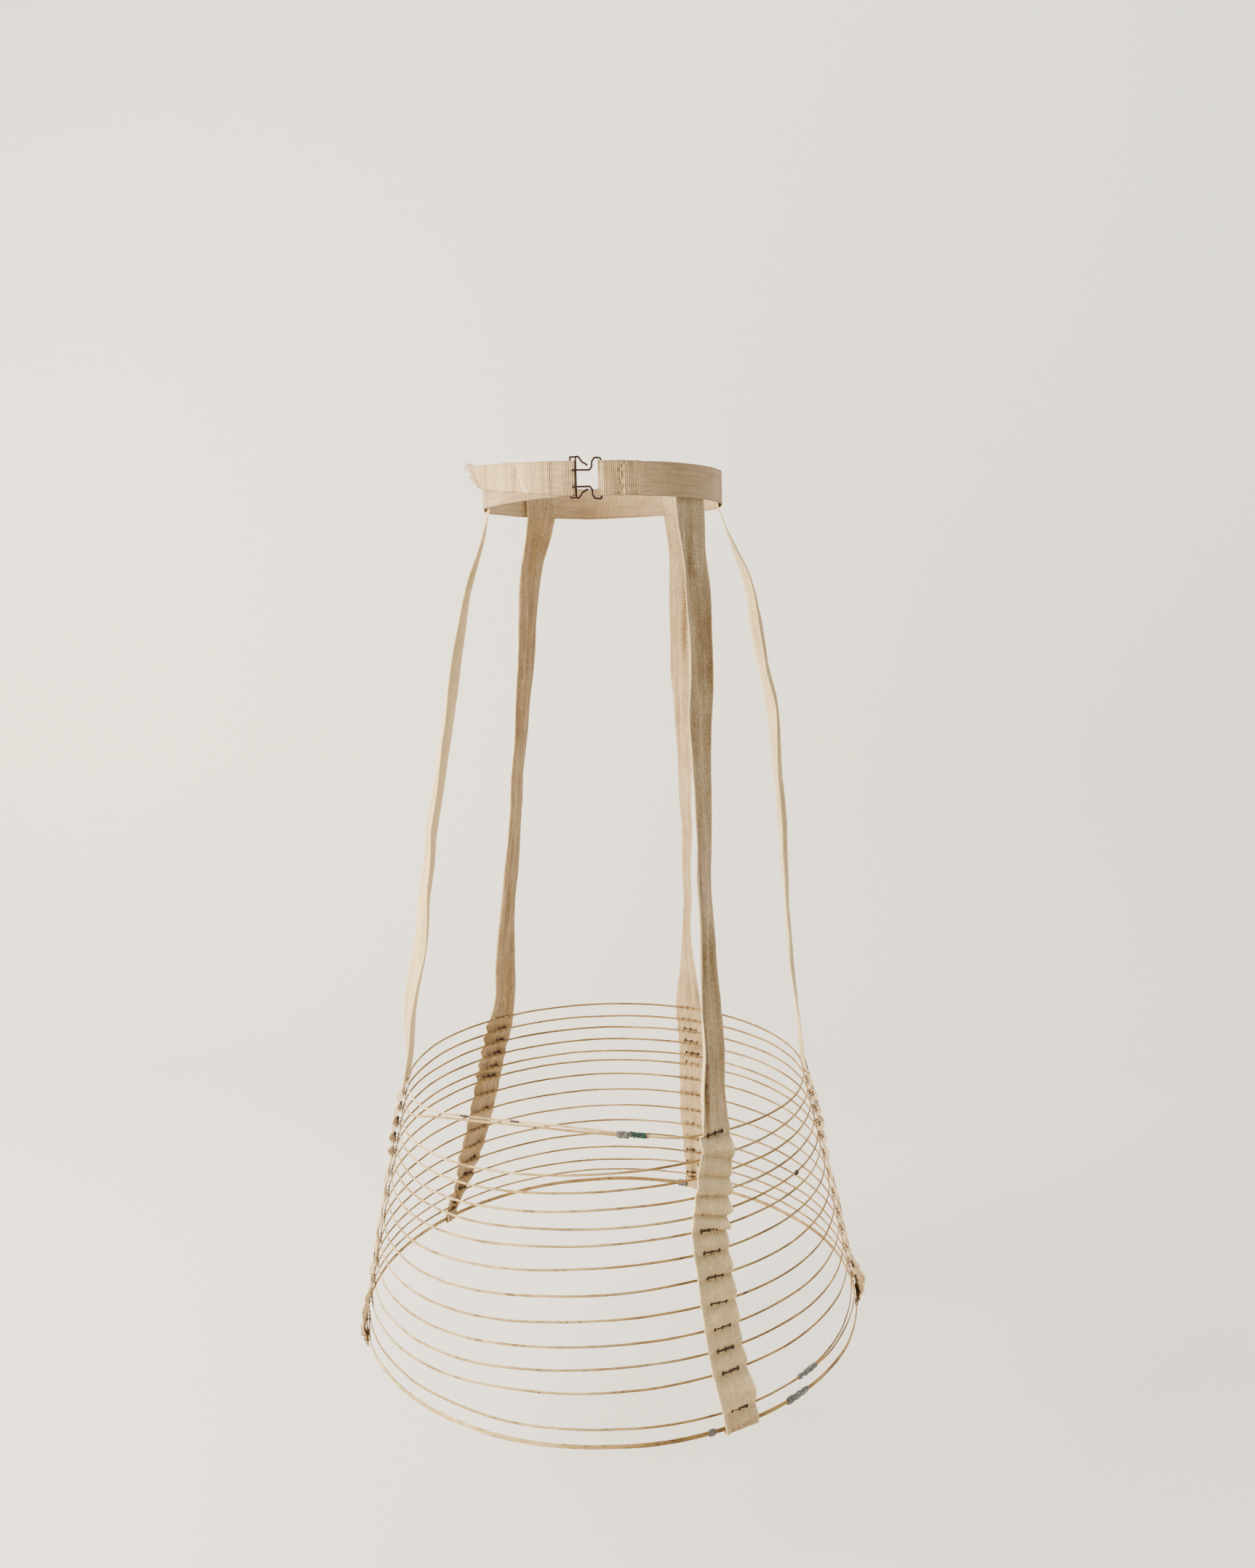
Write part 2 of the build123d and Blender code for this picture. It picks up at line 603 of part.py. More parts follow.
def claw_slots(name):
    """Cuts through the tape for the staples' claws."""
    cut = Box(SLOT_DEPTH, CLAW_WIDTH + 2 * CLAW_EASE, STAPLE_GAUGE + 2 * CLAW_EASE)
    slots = []
    for row in stapled_rows(name):
        middle = row_radius(name, row) + WIRE_THICK / 2 + SEAT + TAPE_THICK / 2
        for offset in claw_offsets():
            place = Pos(middle, offset, slot_height() - ROW_DROPS[row])
            slots.append(Rot(0, 0, tape_angle(name, ROW_DROPS[row])) * place * cut)
    return slots


def tape(name):
    sections = upper_sections(name)
    for drop, radius in skirt_points(name):
        angle = tape_angle(name, drop)
        sections.append(tape_section(on_circle(radius + TAPE_THICK / 2, angle, -drop), angle))
    fall = loft([section.face() for section in sections], ruled=True)
    profile = tape_plane(tape_angle(name, hem_drop())) * hem_face()
    hem = extrude(profile, amount=TAPE_WIDTH / 2, both=True)
    return on_axis(hem.fuse(fall).cut(*claw_slots(name)))


# ---- staples ---------------------------------------------------------------------------

def staple(out, back):
    """A staple about a wire: out to the tape's outer face, back to the claws' near face."""
    height = slot_height()
    bar_in = out + CLAW_EASE
    body = Pos(bar_in + STAPLE_GAUGE / 2, 0, height) * Box(STAPLE_GAUGE, STAPLE_LENGTH, STAPLE_BAR)
    low = -WIRE_TALL / 2 - CLAW_EASE
    top = height + STAPLE_GAUGE / 2
    for offset in claw_offsets():
        length = bar_in + back + STAPLE_GAUGE
        leg = Box(length, CLAW_WIDTH, STAPLE_GAUGE)
        body += Pos(bar_in - length / 2 + CLAW_BITE, offset, height) * leg
        claw = Box(STAPLE_GAUGE, CLAW_WIDTH, top - low)
        body += Pos(-back - STAPLE_GAUGE / 2, offset, (top + low) / 2) * claw
    return body


def staples(name):
    sag = wire_sag(TOP_RADIUS, 2 * CLAW_SPACING + CLAW_WIDTH)
    out = WIRE_THICK / 2 + SEAT + TAPE_THICK
    back = WIRE_THICK / 2 + sag + CLAW_EASE
    made = []
    for row in stapled_rows(name):
        slack = 0.0
        if name == FRONT_TAPE and row == 0:
            slack = row_radius(name, row) - front_tape_reach(-CLAW_SPACING - CLAW_WIDTH)
        drop = ROW_DROPS[row]
        place = Rot(0, 0, tape_angle(name, drop)) * Pos(row_radius(name, row), 0, -drop)
        made.append(on_axis(place * staple(out, back + slack)))
    return made


def main():
    os.makedirs("parts", exist_ok=True)
    write("waistband", waistband())
    write("waist_slide", waist_slide())
    write("waist_hook", waist_hook())
    write("top_hoop", top_hoop())
    for row, turn in spiral_turns():
        write(f"spiral_turn_{row}", turn)
    radius_14 = cone_radius(ROW_DROPS[HOOP_14_ROW])
    write("hoop_14", closed_hoop(HOOP_14_ROW, radius_14, WIRE_TALL, WIRE_THICK))
    write("bottom_hoop", closed_hoop(BOTTOM_ROW, bottom_radius(), RIBBON_TALL, RIBBON_THICK))
    write("front_ferrule", front_ferrule())
    write("front_binding", front_binding())
    write("hoop_14_clip", hoop_14_clip())
    write("bottom_hoop_clip", bottom_hoop_clip())
    for name, place in HOOP_SLEEVES.items():
        write(name, hoop_sleeve(*place))
    for name in TAPES:
        write(name, tape(name))
        solids = [solid for item in staples(name) for solid in item.solids()]
        write("staples" + name[len("tape"):], Compound(children=solids))


main()
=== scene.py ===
import math
from types import SimpleNamespace

import bpy
import numpy as np
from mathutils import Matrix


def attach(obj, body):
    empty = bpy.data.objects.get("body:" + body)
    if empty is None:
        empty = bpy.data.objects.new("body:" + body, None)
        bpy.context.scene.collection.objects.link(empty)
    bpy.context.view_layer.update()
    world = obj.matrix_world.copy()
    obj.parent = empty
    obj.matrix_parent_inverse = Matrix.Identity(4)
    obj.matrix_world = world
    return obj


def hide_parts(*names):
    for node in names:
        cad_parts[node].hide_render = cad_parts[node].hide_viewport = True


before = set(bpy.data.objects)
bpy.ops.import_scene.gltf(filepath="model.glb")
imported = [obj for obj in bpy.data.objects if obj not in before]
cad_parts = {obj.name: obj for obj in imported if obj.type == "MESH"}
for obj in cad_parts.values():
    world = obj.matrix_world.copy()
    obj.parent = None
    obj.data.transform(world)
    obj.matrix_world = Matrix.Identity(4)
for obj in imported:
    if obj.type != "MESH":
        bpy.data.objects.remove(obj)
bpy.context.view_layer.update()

# A crinoline cage as it hangs on a waist. Metres, +Z up, the wearer's front towards -Y,
# the origin in the middle of the waist loop. Plan angles are in degrees and run
# anticlockwise from +X. A row is a hoop or a turn of the spiral. Rows are indexed from 0 at
# the top, so hoop 14 has the index 13. A drop is how far a row or a point hangs below the
# waist.

MM = 0.001

# Hang of the whole cage, the waist oval, and the waist tape's two folded ends: the oval's
# normal at the hook and at the slide, the hem's length, and where the frayed end lies.
LEAN = math.radians(-1.35)
BAND_TILT = math.radians(-3.95)
WAIST_HALF_WIDTH = 107 * MM
WAIST_HALF_DEPTH = 87 * MM
WAIST_SIDE_RADIUS = 65 * MM
BAND_HEIGHT = 28.7 * MM
BAND_THICK = 1.2 * MM
CLASP_GAP = 2.1 * MM
HEM_NORMAL = -89.9
LOOP_NORMAL = 258.9
HOOK_HEM = 25 * MM
FRAYED_END_ANGLE = 196.4
FRAYED_STAND_OFF = 9 * MM

# Cone of wires.
AXIS_X = -10.75 * MM
CONE_RADIUS = 70.5 * MM
CONE_SLOPE = 0.2179
ROW_DROPS = np.array([541, 556, 570, 585, 600, 612, 630, 650, 671, 691, 709, 727, 743, 758, 771]) * MM
ROW_5, HOOP_14, BOTTOM = 4, 13, 14
WIRE_TALL = 2.1 * MM
WIRE_THICK = 1.15 * MM
RIBBON_TALL = 4.0 * MM
RIBBON_THICK = 1.2 * MM
RIBBON_INSET = 0.26 * MM
WIRE_GAP = 0.15 * MM
# The top hoop's flat front: where it starts and ends and how far inside the round, its
# heading, the kink at its end, and the ferrule and the binding on it.
FLAT_START_ANGLE = math.radians(219.46)
FLAT_START_INSET = 20 * MM
FLAT_END_INSET = 22.8 * MM
FLAT_HEADING = math.radians(-17)
KINK_RADIUS = 60 * MM
KINK_TURN = math.radians(34)
FERRULE_LENGTH = 11 * MM
FERRULE_TO_END = 33 * MM
BINDING_LENGTH = 16 * MM
# Plan angles between which the spiral steps down, where its tail leaves the last turn,
# levels out and ends, and where the points of the two lowest hoops begin.
STEP_START, STEP_END = -68.0, -165.0
TAIL_START, TAIL_LEVEL, TAIL_END = 6.0, -37.0, -46.4
HOOP_14_SEAM, BOTTOM_SEAM = -43.0, -47.5

# Tapes: normal of the waist oval, the way down to the hoops as (drop, share of the way out),
# and the plan angles down the rows as (drop, angle on the cone), with drops in mm. Behind the
# band they hang straight between two levels, measured from its middle.
TAPE_WIDTH = 32 * MM
TAPE_THICK = 1.0 * MM
SEAT = 0.35 * MM
TAPE_STRAIGHT_FROM, TAPE_STRAIGHT_TO = 8 * MM, -16 * MM
TAPE_TURN_UP = 8 * MM
HEM_FOLD_GAP = RIBBON_THICK + 1.6 * MM
TAPES = {
    "left": (186.0, [(73, 0.17), (216, 0.435), (380, 0.78)],
             [(541, 183.0), (650, 187.0), (771, 196.0)]),
    "back_left": (122.0, [(73, 0.20), (202, 0.42), (380, 0.72)],
                  [(541, 127.0), (650, 131.3), (723, 134.5), (771, 139.0)]),
    "back_right": (53.0, [(73, 0.20), (202, 0.42), (380, 0.72)],
                   [(541, 62.9), (601, 63.6), (771, 67.8)]),
    "right": (-2.0, [(73, 0.31), (202, 0.59), (380, 0.83)],
              [(541, -2.0), (771, -3.0)]),
    "front_right": (-48.0, [(73, 0.16), (202, 0.40), (380, 0.72)],
                    [(541, -59.2), (570, -62.4), (612, -65.4), (709, -64.6), (771, -62.6)]),
}
# The woven cloth's thickness, as a share of the strip that the frame gives it.
CLOTH_SHARE = 0.85

# Staples: a bar outside the tape and three claws closed round the wire inside it.
STAPLE_LENGTH = 16.4 * MM
CLAW_SPACING = 7.0 * MM

# Height of the floor under the hanging cage.
FLOOR_Z = -0.935


# ---- places ----------------------------------------------------------------------------

def turn(points, angle, axis):
    """Points turned about the X or the Y axis by the right-hand rule."""
    c, s = math.cos(angle), math.sin(angle)
    matrix = {"X": [[1, 0, 0], [0, c, -s], [0, s, c]], "Y": [[c, 0, s], [0, 1, 0], [-s, 0, c]]}
    return points @ np.array(matrix[axis]).T


def hung(points):
    """Points of the upright cage, leaned to one side as it hangs."""
    return turn(points, LEAN, "Y")


def in_band(points):
    """Points of the level waist loop, tipped forward and then leaned with the cage."""
    return hung(turn(points, BAND_TILT, "X"))


def on_axis(points):
    """Points about the cone's own axis, brought to the hanging cage."""
    return hung(points + np.array([AXIS_X, 0, 0]))


def cone_radius(drop):
    """Radius of the cone of wires, which grows evenly with the drop."""
    return CONE_RADIUS + CONE_SLOPE * drop


def smooth(x):
    """A soft step: 0 below 0, 1 above 1, and 3x^2 - 2x^3 between."""
    x = np.clip(x, 0, 1)
    return x * x * (3 - 2 * x)


def bell(x, width):
    """1 at 0, falling off to both sides: e to the minus (x / width) squared."""
    return np.exp(-((x / width) ** 2))


def wander(count, spacing, seed, octaves=3):
    """Smooth random line of values near -1 to 1: random knots every spacing samples, joined
    by a smooth curve, with finer and weaker ones added."""
    made = np.zeros(count)
    draw = np.random.default_rng(seed)
    for level in range(octaves):
        step = max(2.0, spacing / 2**level)
        knots = draw.uniform(-1, 1, int(count / step) + 3)
        at = np.arange(count) / step
        low = at.astype(int)
        share = smooth(at - low)
        made += (knots[low] * (1 - share) + knots[low + 1] * share) * 0.6**level
    return made


def unit(vectors):
    """Vectors brought to a length of 1."""
    return vectors / np.linalg.norm(vectors, axis=-1, keepdims=True)


def blurred(values, reach):
    """A line of values, each made the mean of its neighbours under a hump that reaches so
    many to each side. The line loses that many at each end."""
    hump = np.hanning(2 * reach + 3)[1:-1]
    return np.convolve(values, hump / hump.sum(), "valid")


# ---- meshes ----------------------------------------------------------------------------

def add_piece(name, points, faces, material, uv=None, values=None):
    """A finished mesh object at the origin. uv is one pair for each vertex; values maps
    attribute names to one number for each vertex."""
    mesh = bpy.data.meshes.new(name)
    mesh.from_pydata(points.reshape(-1, 3).tolist(), [], faces)
    if uv is not None:
        layer = mesh.uv_layers.new(name="UVMap")
        corner = np.empty(len(mesh.loops), dtype=np.int32)
        mesh.loops.foreach_get("vertex_index", corner)
        layer.data.foreach_set("uv", uv.reshape(-1, 2)[corner].ravel().astype(np.float32))
    for key, numbers in (values or {}).items():
        attribute = mesh.attributes.new(key, "FLOAT", "POINT")
        attribute.data.foreach_set("value", np.asarray(numbers, dtype=np.float32).ravel())
    mesh.polygons.foreach_set("use_smooth", np.ones(len(mesh.polygons), dtype=bool))
    mesh.materials.append(material)
    mesh.update()
    piece = bpy.data.objects.new(name, mesh)
    bpy.context.scene.collection.objects.link(piece)
    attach(piece, "root")
    return piece


def grid_faces(rows, columns, wrap_rows=False, wrap_columns=False):
    """Quads of a grid of vertices numbered row by row."""
    i = np.arange(rows if wrap_rows else rows - 1)
    j = np.arange(columns if wrap_columns else columns - 1)
    i, j = np.meshgrid(i, j, indexing="ij")
    k, m = (i + 1) % rows, (j + 1) % columns
    quads = [i * columns + j, i * columns + m, k * columns + m, k * columns + j]
    return np.stack(quads, -1).reshape(-1, 4).tolist()


def tube_faces(rows, columns):
    """The skin of an open tube, with a cap at each end."""
    caps = [list(range(columns))[::-1], [(rows - 1) * columns + k for k in range(columns)]]
    return grid_faces(rows, columns, wrap_columns=True) + caps


def flat_section(tall, thick, count=12, squareness=0.62):
    """Outline of a flat wire with rounded edges: an ellipse drawn out towards a rectangle."""
    angle = np.arange(count) * 2 * math.pi / count + math.pi / count
    c, s = np.cos(angle), np.sin(angle)
    across = np.sign(c) * np.abs(c) ** squareness * thick / 2
    up = np.sign(s) * np.abs(s) ** squareness * tall / 2
    return across, up


def sides(path, closed=False, reference=(0.0, 0.0, 1.0)):
    """Unit vectors beside a path: across is square to the path and to a reference line, and
    up is square to both."""
    ahead = np.roll(path, -1, 0) - np.roll(path, 1, 0) if closed else np.gradient(path, axis=0)
    ahead = unit(ahead)
    across = unit(np.cross(ahead, np.asarray(reference, float)))
    return across, np.cross(across, ahead)


def beside(path, across, up, a, n):
    """A grid of points: each point of a path, moved a across and n up."""
    return path[:, None, :] + across[:, None, :] * a[..., None] + up[:, None, :] * n[..., None]


def tube(path, radius, columns=6, reference=(0.0, 0.0, 1.0)):
    """Points of a round tube: a circle square to the path, turned from a reference line."""
    angle = np.arange(columns) * 2 * math.pi / columns
    size = np.broadcast_to(np.asarray(radius, float), (len(path),))[:, None]
    return beside(path, *sides(path, False, reference), size * np.cos(angle), size * np.sin(angle))


def joined(tubes):
    """Several open tubes as one set of points and closed faces."""
    points, faces, base = [], [], 0
    for made in tubes:
        rows, columns = made.shape[:2]
        faces += [[base + k for k in face] for face in tube_faces(rows, columns)]
        points.append(made.reshape(-1, 3))
        base += rows * columns
    return np.concatenate(points), faces


def thicken(piece, thick):
    """Gives a cloth sheet its thickness, half to each side."""
    wall = piece.modifiers.new("thickness", "SOLIDIFY")
    wall.thickness = thick
    wall.offset = 0.0
    wall.use_rim = True


def length_along(path):
    """Length of a path from its start to each of its points."""
    return np.concatenate([[0], np.cumsum(np.linalg.norm(np.diff(path, axis=0), axis=1))])


def even(path, step):
    """The same path with its points a step apart."""
    at = length_along(path)
    keep = np.concatenate([[True], np.diff(at) > 1e-7])
    at, path = at[keep], path[keep]
    want = np.linspace(0, at[-1], int(at[-1] / step) + 1)
    return np.stack([np.interp(want, at, path[:, i]) for i in range(3)], 1)


# ---- materials -------------------------------------------------------------------------

def linear(code):
    """An sRGB hex colour as linear red, green, blue and full alpha."""
    parts = [int(code[i:i + 2], 16) / 255 for i in (1, 3, 5)]
    return [p / 12.92 if p <= 0.04045 else ((p + 0.055) / 1.055) ** 2.4 for p in parts] + [1.0]


def feed(tree, node, inputs):
    """Sets each input of a node to a value, or links it to a socket."""
    for key, value in inputs.items():
        if isinstance(value, bpy.types.NodeSocket):
            tree.links.new(value, node.inputs[key])
        else:
            node.inputs[key].default_value = value


def add(tree, kind, inputs, out=0, **settings):
    """Adds a node with its settings and its inputs, and gives back the output that is used.
    A MapRange takes a value, the span that it comes from and the span that it goes to, as
    inputs 0 to 4, and a Mix of colours takes a share and two colours, as 0, 6 and 7."""
    made = tree.nodes.new("ShaderNode" + kind)
    for key, value in settings.items():
        setattr(made, key, value)
    feed(tree, made, inputs)
    return made.outputs[out]


def new_material(name):
    """A new material, its nodes, and its shader."""
    material = bpy.data.materials.new(name)
    material.use_nodes = True
    tree = material.node_tree
    return material, tree, tree.nodes["Principled BSDF"]


def coats(tree, ground, *layers):
    """A ground colour with other colours laid over it one by one, each by its share."""
    colour = linear(ground)
    for share, over in layers:
        colour = add(tree, "Mix", {0: share, 6: colour, 7: linear(over)}, 2, data_type="RGBA")
    return colour


def waves(tree, length, spacing):
    """Sine waves along a length, a spacing apart."""
    phase = add(tree, "Math", {0: length, 1: 2 * math.pi / spacing}, operation="MULTIPLY")
    return add(tree, "Math", {0: phase}, operation="SINE")


def blotches(tree, vector, spacing, low, high, detail, roughness=0.6):
    """Noise about a spacing apart, drawn out so that low becomes 0 and high becomes 1."""
    noise = add(tree, "TexNoise",
                {"Vector": vector, "Scale": 1 / spacing, "Detail": detail, "Roughness": roughness})
    return add(tree, "MapRange", {0: noise, 1: low, 2: high})


def woven(tree, flat, half_width, rib, slant):
    """Height of the weave, between about -0.5 and 0.5. Ribs follow a line that zigzags across
    the tape, turning every 1.1 mm, and is pushed to and fro by slack in the weaving. Threads
    run along the tape, and each edge is a cord twisted every 2.6 mm. In such tape the threads
    are usually about 0.6 mm apart; they are drawn 1.2 mm apart, so that they show."""
    across = add(tree, "SeparateXYZ", {0: flat}, "X")
    along = across.node.outputs["Y"]
    uneven = add(tree, "TexNoise",
                 {"Vector": flat, "Scale": 1 / (4 * MM), "Detail": 1.0, "Roughness": 0.6})
    slack = add(tree, "Math", {0: uneven, 1: 11 * MM * slant}, operation="MULTIPLY")
    chevron = add(tree, "Math", {0: across, 1: 1.1 * MM}, operation="PINGPONG")
    pushed = add(tree, "Math", {0: along, 1: slack}, operation="ADD")
    zigzag = add(tree, "Math", {0: chevron, 1: slant, 2: pushed}, operation="MULTIPLY_ADD")
    ribs = waves(tree, zigzag, rib)
    threads = add(tree, "Math", {0: waves(tree, across, 1.2 * MM), 1: 0.12}, operation="MULTIPLY")
    weave = add(tree, "Math", {0: ribs, 1: 0.38, 2: threads}, operation="MULTIPLY_ADD")
    from_middle = add(tree, "Math", {0: across}, operation="ABSOLUTE")
    at_edge = add(tree, "MapRange", {0: from_middle, 1: half_width - 1.5 * MM, 2: half_width - 1.0 * MM})
    diagonal = add(tree, "Math", {0: across, 1: along}, operation="ADD")
    cord = add(tree, "Math", {0: waves(tree, diagonal, 2.6 * MM), 1: 0.5}, operation="MULTIPLY")
    return add(tree, "Mix", {0: at_edge, 2: weave, 3: cord})


# Pale cream laid where the cloth's attribute is below 0: washed-out cloth, and painted highlight on lit
# rims, folds, creases and faces.
WASHED_OUT_AND_HIGHLIGHT = "#f6d79c"


def cotton_twill(name, pale, deep, soil_and_shading, half_width, rib, slant):
    """Cotton tape woven in a herringbone twill, darkened where its attribute is above 0, by soil
    and by painted shade, and lightened where it is below, as washed-out cloth and as painted
    highlight: matt, with a soft bloom of loose fibre at its edges, faint streaks along its
    threads, and dirt and painted shade in the hollows of its weave. The ribs run in
    chevrons, or straight across where slant is 0."""
    material, tree, shader = new_material(name)
    place = add(tree, "TexCoord", {}, "Object")
    flat = add(tree, "UVMap", {}, uv_map="UVMap")
    weave = woven(tree, flat, half_width, rib, slant)
    patches = blotches(tree, place, 50 * MM, 0.25, 0.85, 5.0)
    drawn = add(tree, "Mapping", {"Vector": flat, "Scale": (1.0, 0.08, 1.0)})
    streak = add(tree, "TexNoise",
                 {"Vector": drawn, "Scale": 1 / (2.5 * MM), "Detail": 3.0, "Roughness": 0.6})
    streaks = add(tree, "MapRange", {0: streak, 1: 0.42, 2: 0.72, 3: 0.0, 4: 0.6})
    # The weave's low parts take the dark colour: dirt and painted shade in its hollows.
    hollow_dirt_and_shade = add(tree, "MapRange", {0: weave, 1: -0.45, 2: 0.25, 3: 0.40, 4: 0.0})
    patchy = add(tree, "MapRange", {0: streak, 1: 0.35, 2: 0.65, 3: 0.45, 4: 1.4})
    shade = add(tree, "Math", {0: hollow_dirt_and_shade, 1: patchy}, operation="MULTIPLY")
    # The cloth's attribute darkens it above 0, with soil and painted shade, and lightens it below 0, as
    # washed-out cloth and painted highlight.
    dirt_and_shading = add(tree, "Attribute", {}, "Fac", attribute_name="soil_and_shading")
    blotch = add(tree, "TexNoise",
                 {"Vector": place, "Scale": 1 / (5 * MM), "Detail": 4.0, "Roughness": 0.7})
    broken = add(tree, "MapRange", {0: blotch, 1: 0.25, 2: 0.65, 3: 0.35, 4: 1.0})
    spread = add(tree, "Math", {0: dirt_and_shading, 1: broken}, operation="MULTIPLY")
    washed_and_lit = add(tree, "Math", {0: dirt_and_shading, 1: -1.0}, operation="MULTIPLY")
    colour = coats(tree, pale, (patches, deep), (streaks, deep), (shade, soil_and_shading),
                   (add(tree, "Clamp", {0: spread}), soil_and_shading), (add(tree, "Clamp", {0: washed_and_lit}), WASHED_OUT_AND_HIGHLIGHT))
    slub = add(tree, "TexNoise",
               {"Vector": flat, "Scale": 1 / (1.2 * MM), "Detail": 2.0, "Roughness": 0.6})
    height = add(tree, "Math", {0: slub, 1: 0.5, 2: weave}, operation="MULTIPLY_ADD")
    relief = add(tree, "Bump", {"Height": height, "Strength": 0.85, "Distance": 0.7 * MM})
    feed(tree, shader, {"Base Color": colour, "Normal": relief, "Roughness": 0.92,
                        "Sheen Weight": 0.1, "Sheen Roughness": 0.5, "Specular IOR Level": 0.25})
    return material


def covered_wire():
    """Spring steel wound with cotton and pasted paper: matt cream gone tan, speckled with
    rust that has come through, and dark bare steel where the cover has flaked. It is pale
    cream where its attribute is high: clean paper, and painted light at the left of the front.
    The winding is finer than a millimetre; its ridges are drawn 2.4 mm apart, so that they show."""
    material, tree, shader = new_material("paper_covered_spring_steel")
    place = add(tree, "TexCoord", {}, "Object")
    flat = add(tree, "UVMap", {}, uv_map="UVMap")
    drawn = add(tree, "Mapping", {"Vector": flat, "Scale": (0.35, 1.0, 1.0)})
    tone = blotches(tree, place, 28 * MM, 0.35, 0.65, 4.0)
    clean_and_lit = add(tree, "Attribute", {}, "Fac", attribute_name="clean_and_lit")
    paper = blotches(tree, drawn, 5 * MM, 0.62, 0.50, 4.0, 0.7)
    kept = add(tree, "Math", {0: clean_and_lit, 1: paper}, operation="MULTIPLY")
    stains = blotches(tree, drawn, 3.2 * MM, 0.54, 0.64, 4.0, 0.7)
    rust = add(tree, "Math", {0: stains, 1: 0.75}, operation="MULTIPLY")
    dots = blotches(tree, drawn, 2.2 * MM, 0.66, 0.71, 2.0)
    bare = add(tree, "Attribute", {}, "Fac", attribute_name="bare")
    torn = add(tree, "TexNoise",
               {"Vector": flat, "Scale": 1 / (1.5 * MM), "Detail": 3.0, "Roughness": 0.6})
    ragged = add(tree, "Math", {0: torn, 1: 0.4, 2: bare}, operation="MULTIPLY_ADD")
    flaked = add(tree, "MapRange", {0: ragged, 1: 0.55, 2: 0.75})
    colour = coats(tree, "#a8854e", (tone, "#735733"), (kept, "#e3c88f"), (rust, "#5f4229"),
                   (dots, "#24150c"), (flaked, "#46342a"))
    length = add(tree, "SeparateXYZ", {0: flat}, "X")
    diagonal = add(tree, "Math", {0: length, 1: length.node.outputs["Y"]}, operation="ADD")
    fuzz = add(tree, "TexNoise",
               {"Vector": flat, "Scale": 1 / (1.4 * MM), "Detail": 3.0, "Roughness": 0.6})
    wound = waves(tree, diagonal, 2.4 * MM)
    height = add(tree, "Math", {0: wound, 1: 0.12, 2: fuzz}, operation="MULTIPLY_ADD")
    relief = add(tree, "Bump", {"Height": height, "Strength": 0.6, "Distance": 0.3 * MM})
    rough = add(tree, "MapRange", {0: flaked, 1: 0.0, 2: 1.0, 3: 0.85, 4: 0.55})
    metal = add(tree, "MapRange", {0: flaked, 1: 0.0, 2: 1.0, 3: 0.0, 4: 0.5})
    feed(tree, shader, {"Base Color": colour, "Normal": relief, "Roughness": rough,
                        "Metallic": metal, "Specular IOR Level": 0.3})
    return material


def aged_metal(name, dark, light, spot, metallic, roughness, patch=2.0 * MM):
    """Old metal with a worn skin: two tones in blotches a patch apart, with finer spots of
    rust or dirt, which shine less, and a fine pitted grain."""
    material, tree, shader = new_material(name)
    place = add(tree, "TexCoord", {}, "Object")
    tone = blotches(tree, place, patch, 0.38, 0.62, 4.0)
    spots = blotches(tree, place, patch * 0.45, 0.56, 0.66, 3.0, 0.7)
    grain = add(tree, "TexNoise",
                {"Vector": place, "Scale": 1 / (patch * 0.3), "Detail": 3.0, "Roughness": 0.6})
    relief = add(tree, "Bump", {"Height": grain, "Strength": 0.5, "Distance": 0.2 * MM})
    rough = add(tree, "MapRange", {0: grain, 1: 0.3, 2: 0.7, 3: roughness - 0.12, 4: roughness + 0.15})
    metal = add(tree, "MapRange", {0: spots, 1: 0.0, 2: 1.0, 3: metallic, 4: metallic * 0.3})
    feed(tree, shader, {"Base Color": coats(tree, dark, (tone, light), (spots, spot)),
                        "Normal": relief, "Roughness": rough, "Metallic": metal})
    return material


# The tapes' lozenges are about 4 mm long and are drawn at 4.2 mm. The waistband's tape has
# straight ribs across it instead.
TAPE_COTTON = cotton_twill("unbleached_cotton_twill_tape", "#dabb8e", "#a98a5b", "#4d2f14",
                           TAPE_WIDTH / 2, rib=4.2 * MM, slant=1.7)
BAND_COTTON = cotton_twill("washed_cotton_waist_tape", "#cfb189", "#a88657", "#553a20",
                           BAND_HEIGHT / 2, rib=1.6 * MM, slant=0.0)
COVERED = covered_wire()
# Bent steel wire, browned: dark, half glossy, worn a little redder in places.
CLASP_STEEL = aged_metal("browned_steel_wire", "#1f110e", "#3a231b", "#57362b", 0.6, 0.42)
# Mild steel rusted all over: matt dark brown, hardly metal any more.
STAPLE_STEEL = aged_metal("rusted_mild_steel", "#2a190f", "#49301f", "#5e3b20", 0.15, 0.75)
# Iron strip dipped in tin: dull grey with a soft shine, brown where the tin has gone.
CRIMP_METAL = aged_metal("dull_tinned_iron", "#3d3b37", "#7d7a74", "#35291f", 0.6, 0.5)
# Copper wire gone green all over: matt and dark, with nearly black patches.
VERDIGRIS = aged_metal("verdigris_on_copper", "#10271d", "#255643", "#0a1611", 0.2, 0.75, 1.6 * MM)


# ---- wires -----------------------------------------------------------------------------

TOP_RADIUS = cone_radius(ROW_DROPS[0])
ALONG = np.array([math.cos(FLAT_HEADING), math.sin(FLAT_HEADING)])
INWARD = np.array([-ALONG[1], ALONG[0]])
FLAT_START = (TOP_RADIUS - FLAT_START_INSET) * np.array([math.cos(FLAT_START_ANGLE),
                                                         math.sin(FLAT_START_ANGLE)])
FLAT_LENGTH = math.sqrt((FLAT_START @ ALONG) ** 2 - FLAT_START @ FLAT_START
                        + (TOP_RADIUS - FLAT_END_INSET) ** 2) - FLAT_START @ ALONG
FERRULE_START = FLAT_LENGTH - FERRULE_TO_END
KINK_CENTRE = FLAT_START + ALONG * FLAT_LENGTH + INWARD * KINK_RADIUS
KINK_SLOPE = math.degrees(FLAT_HEADING) + math.degrees(KINK_TURN)
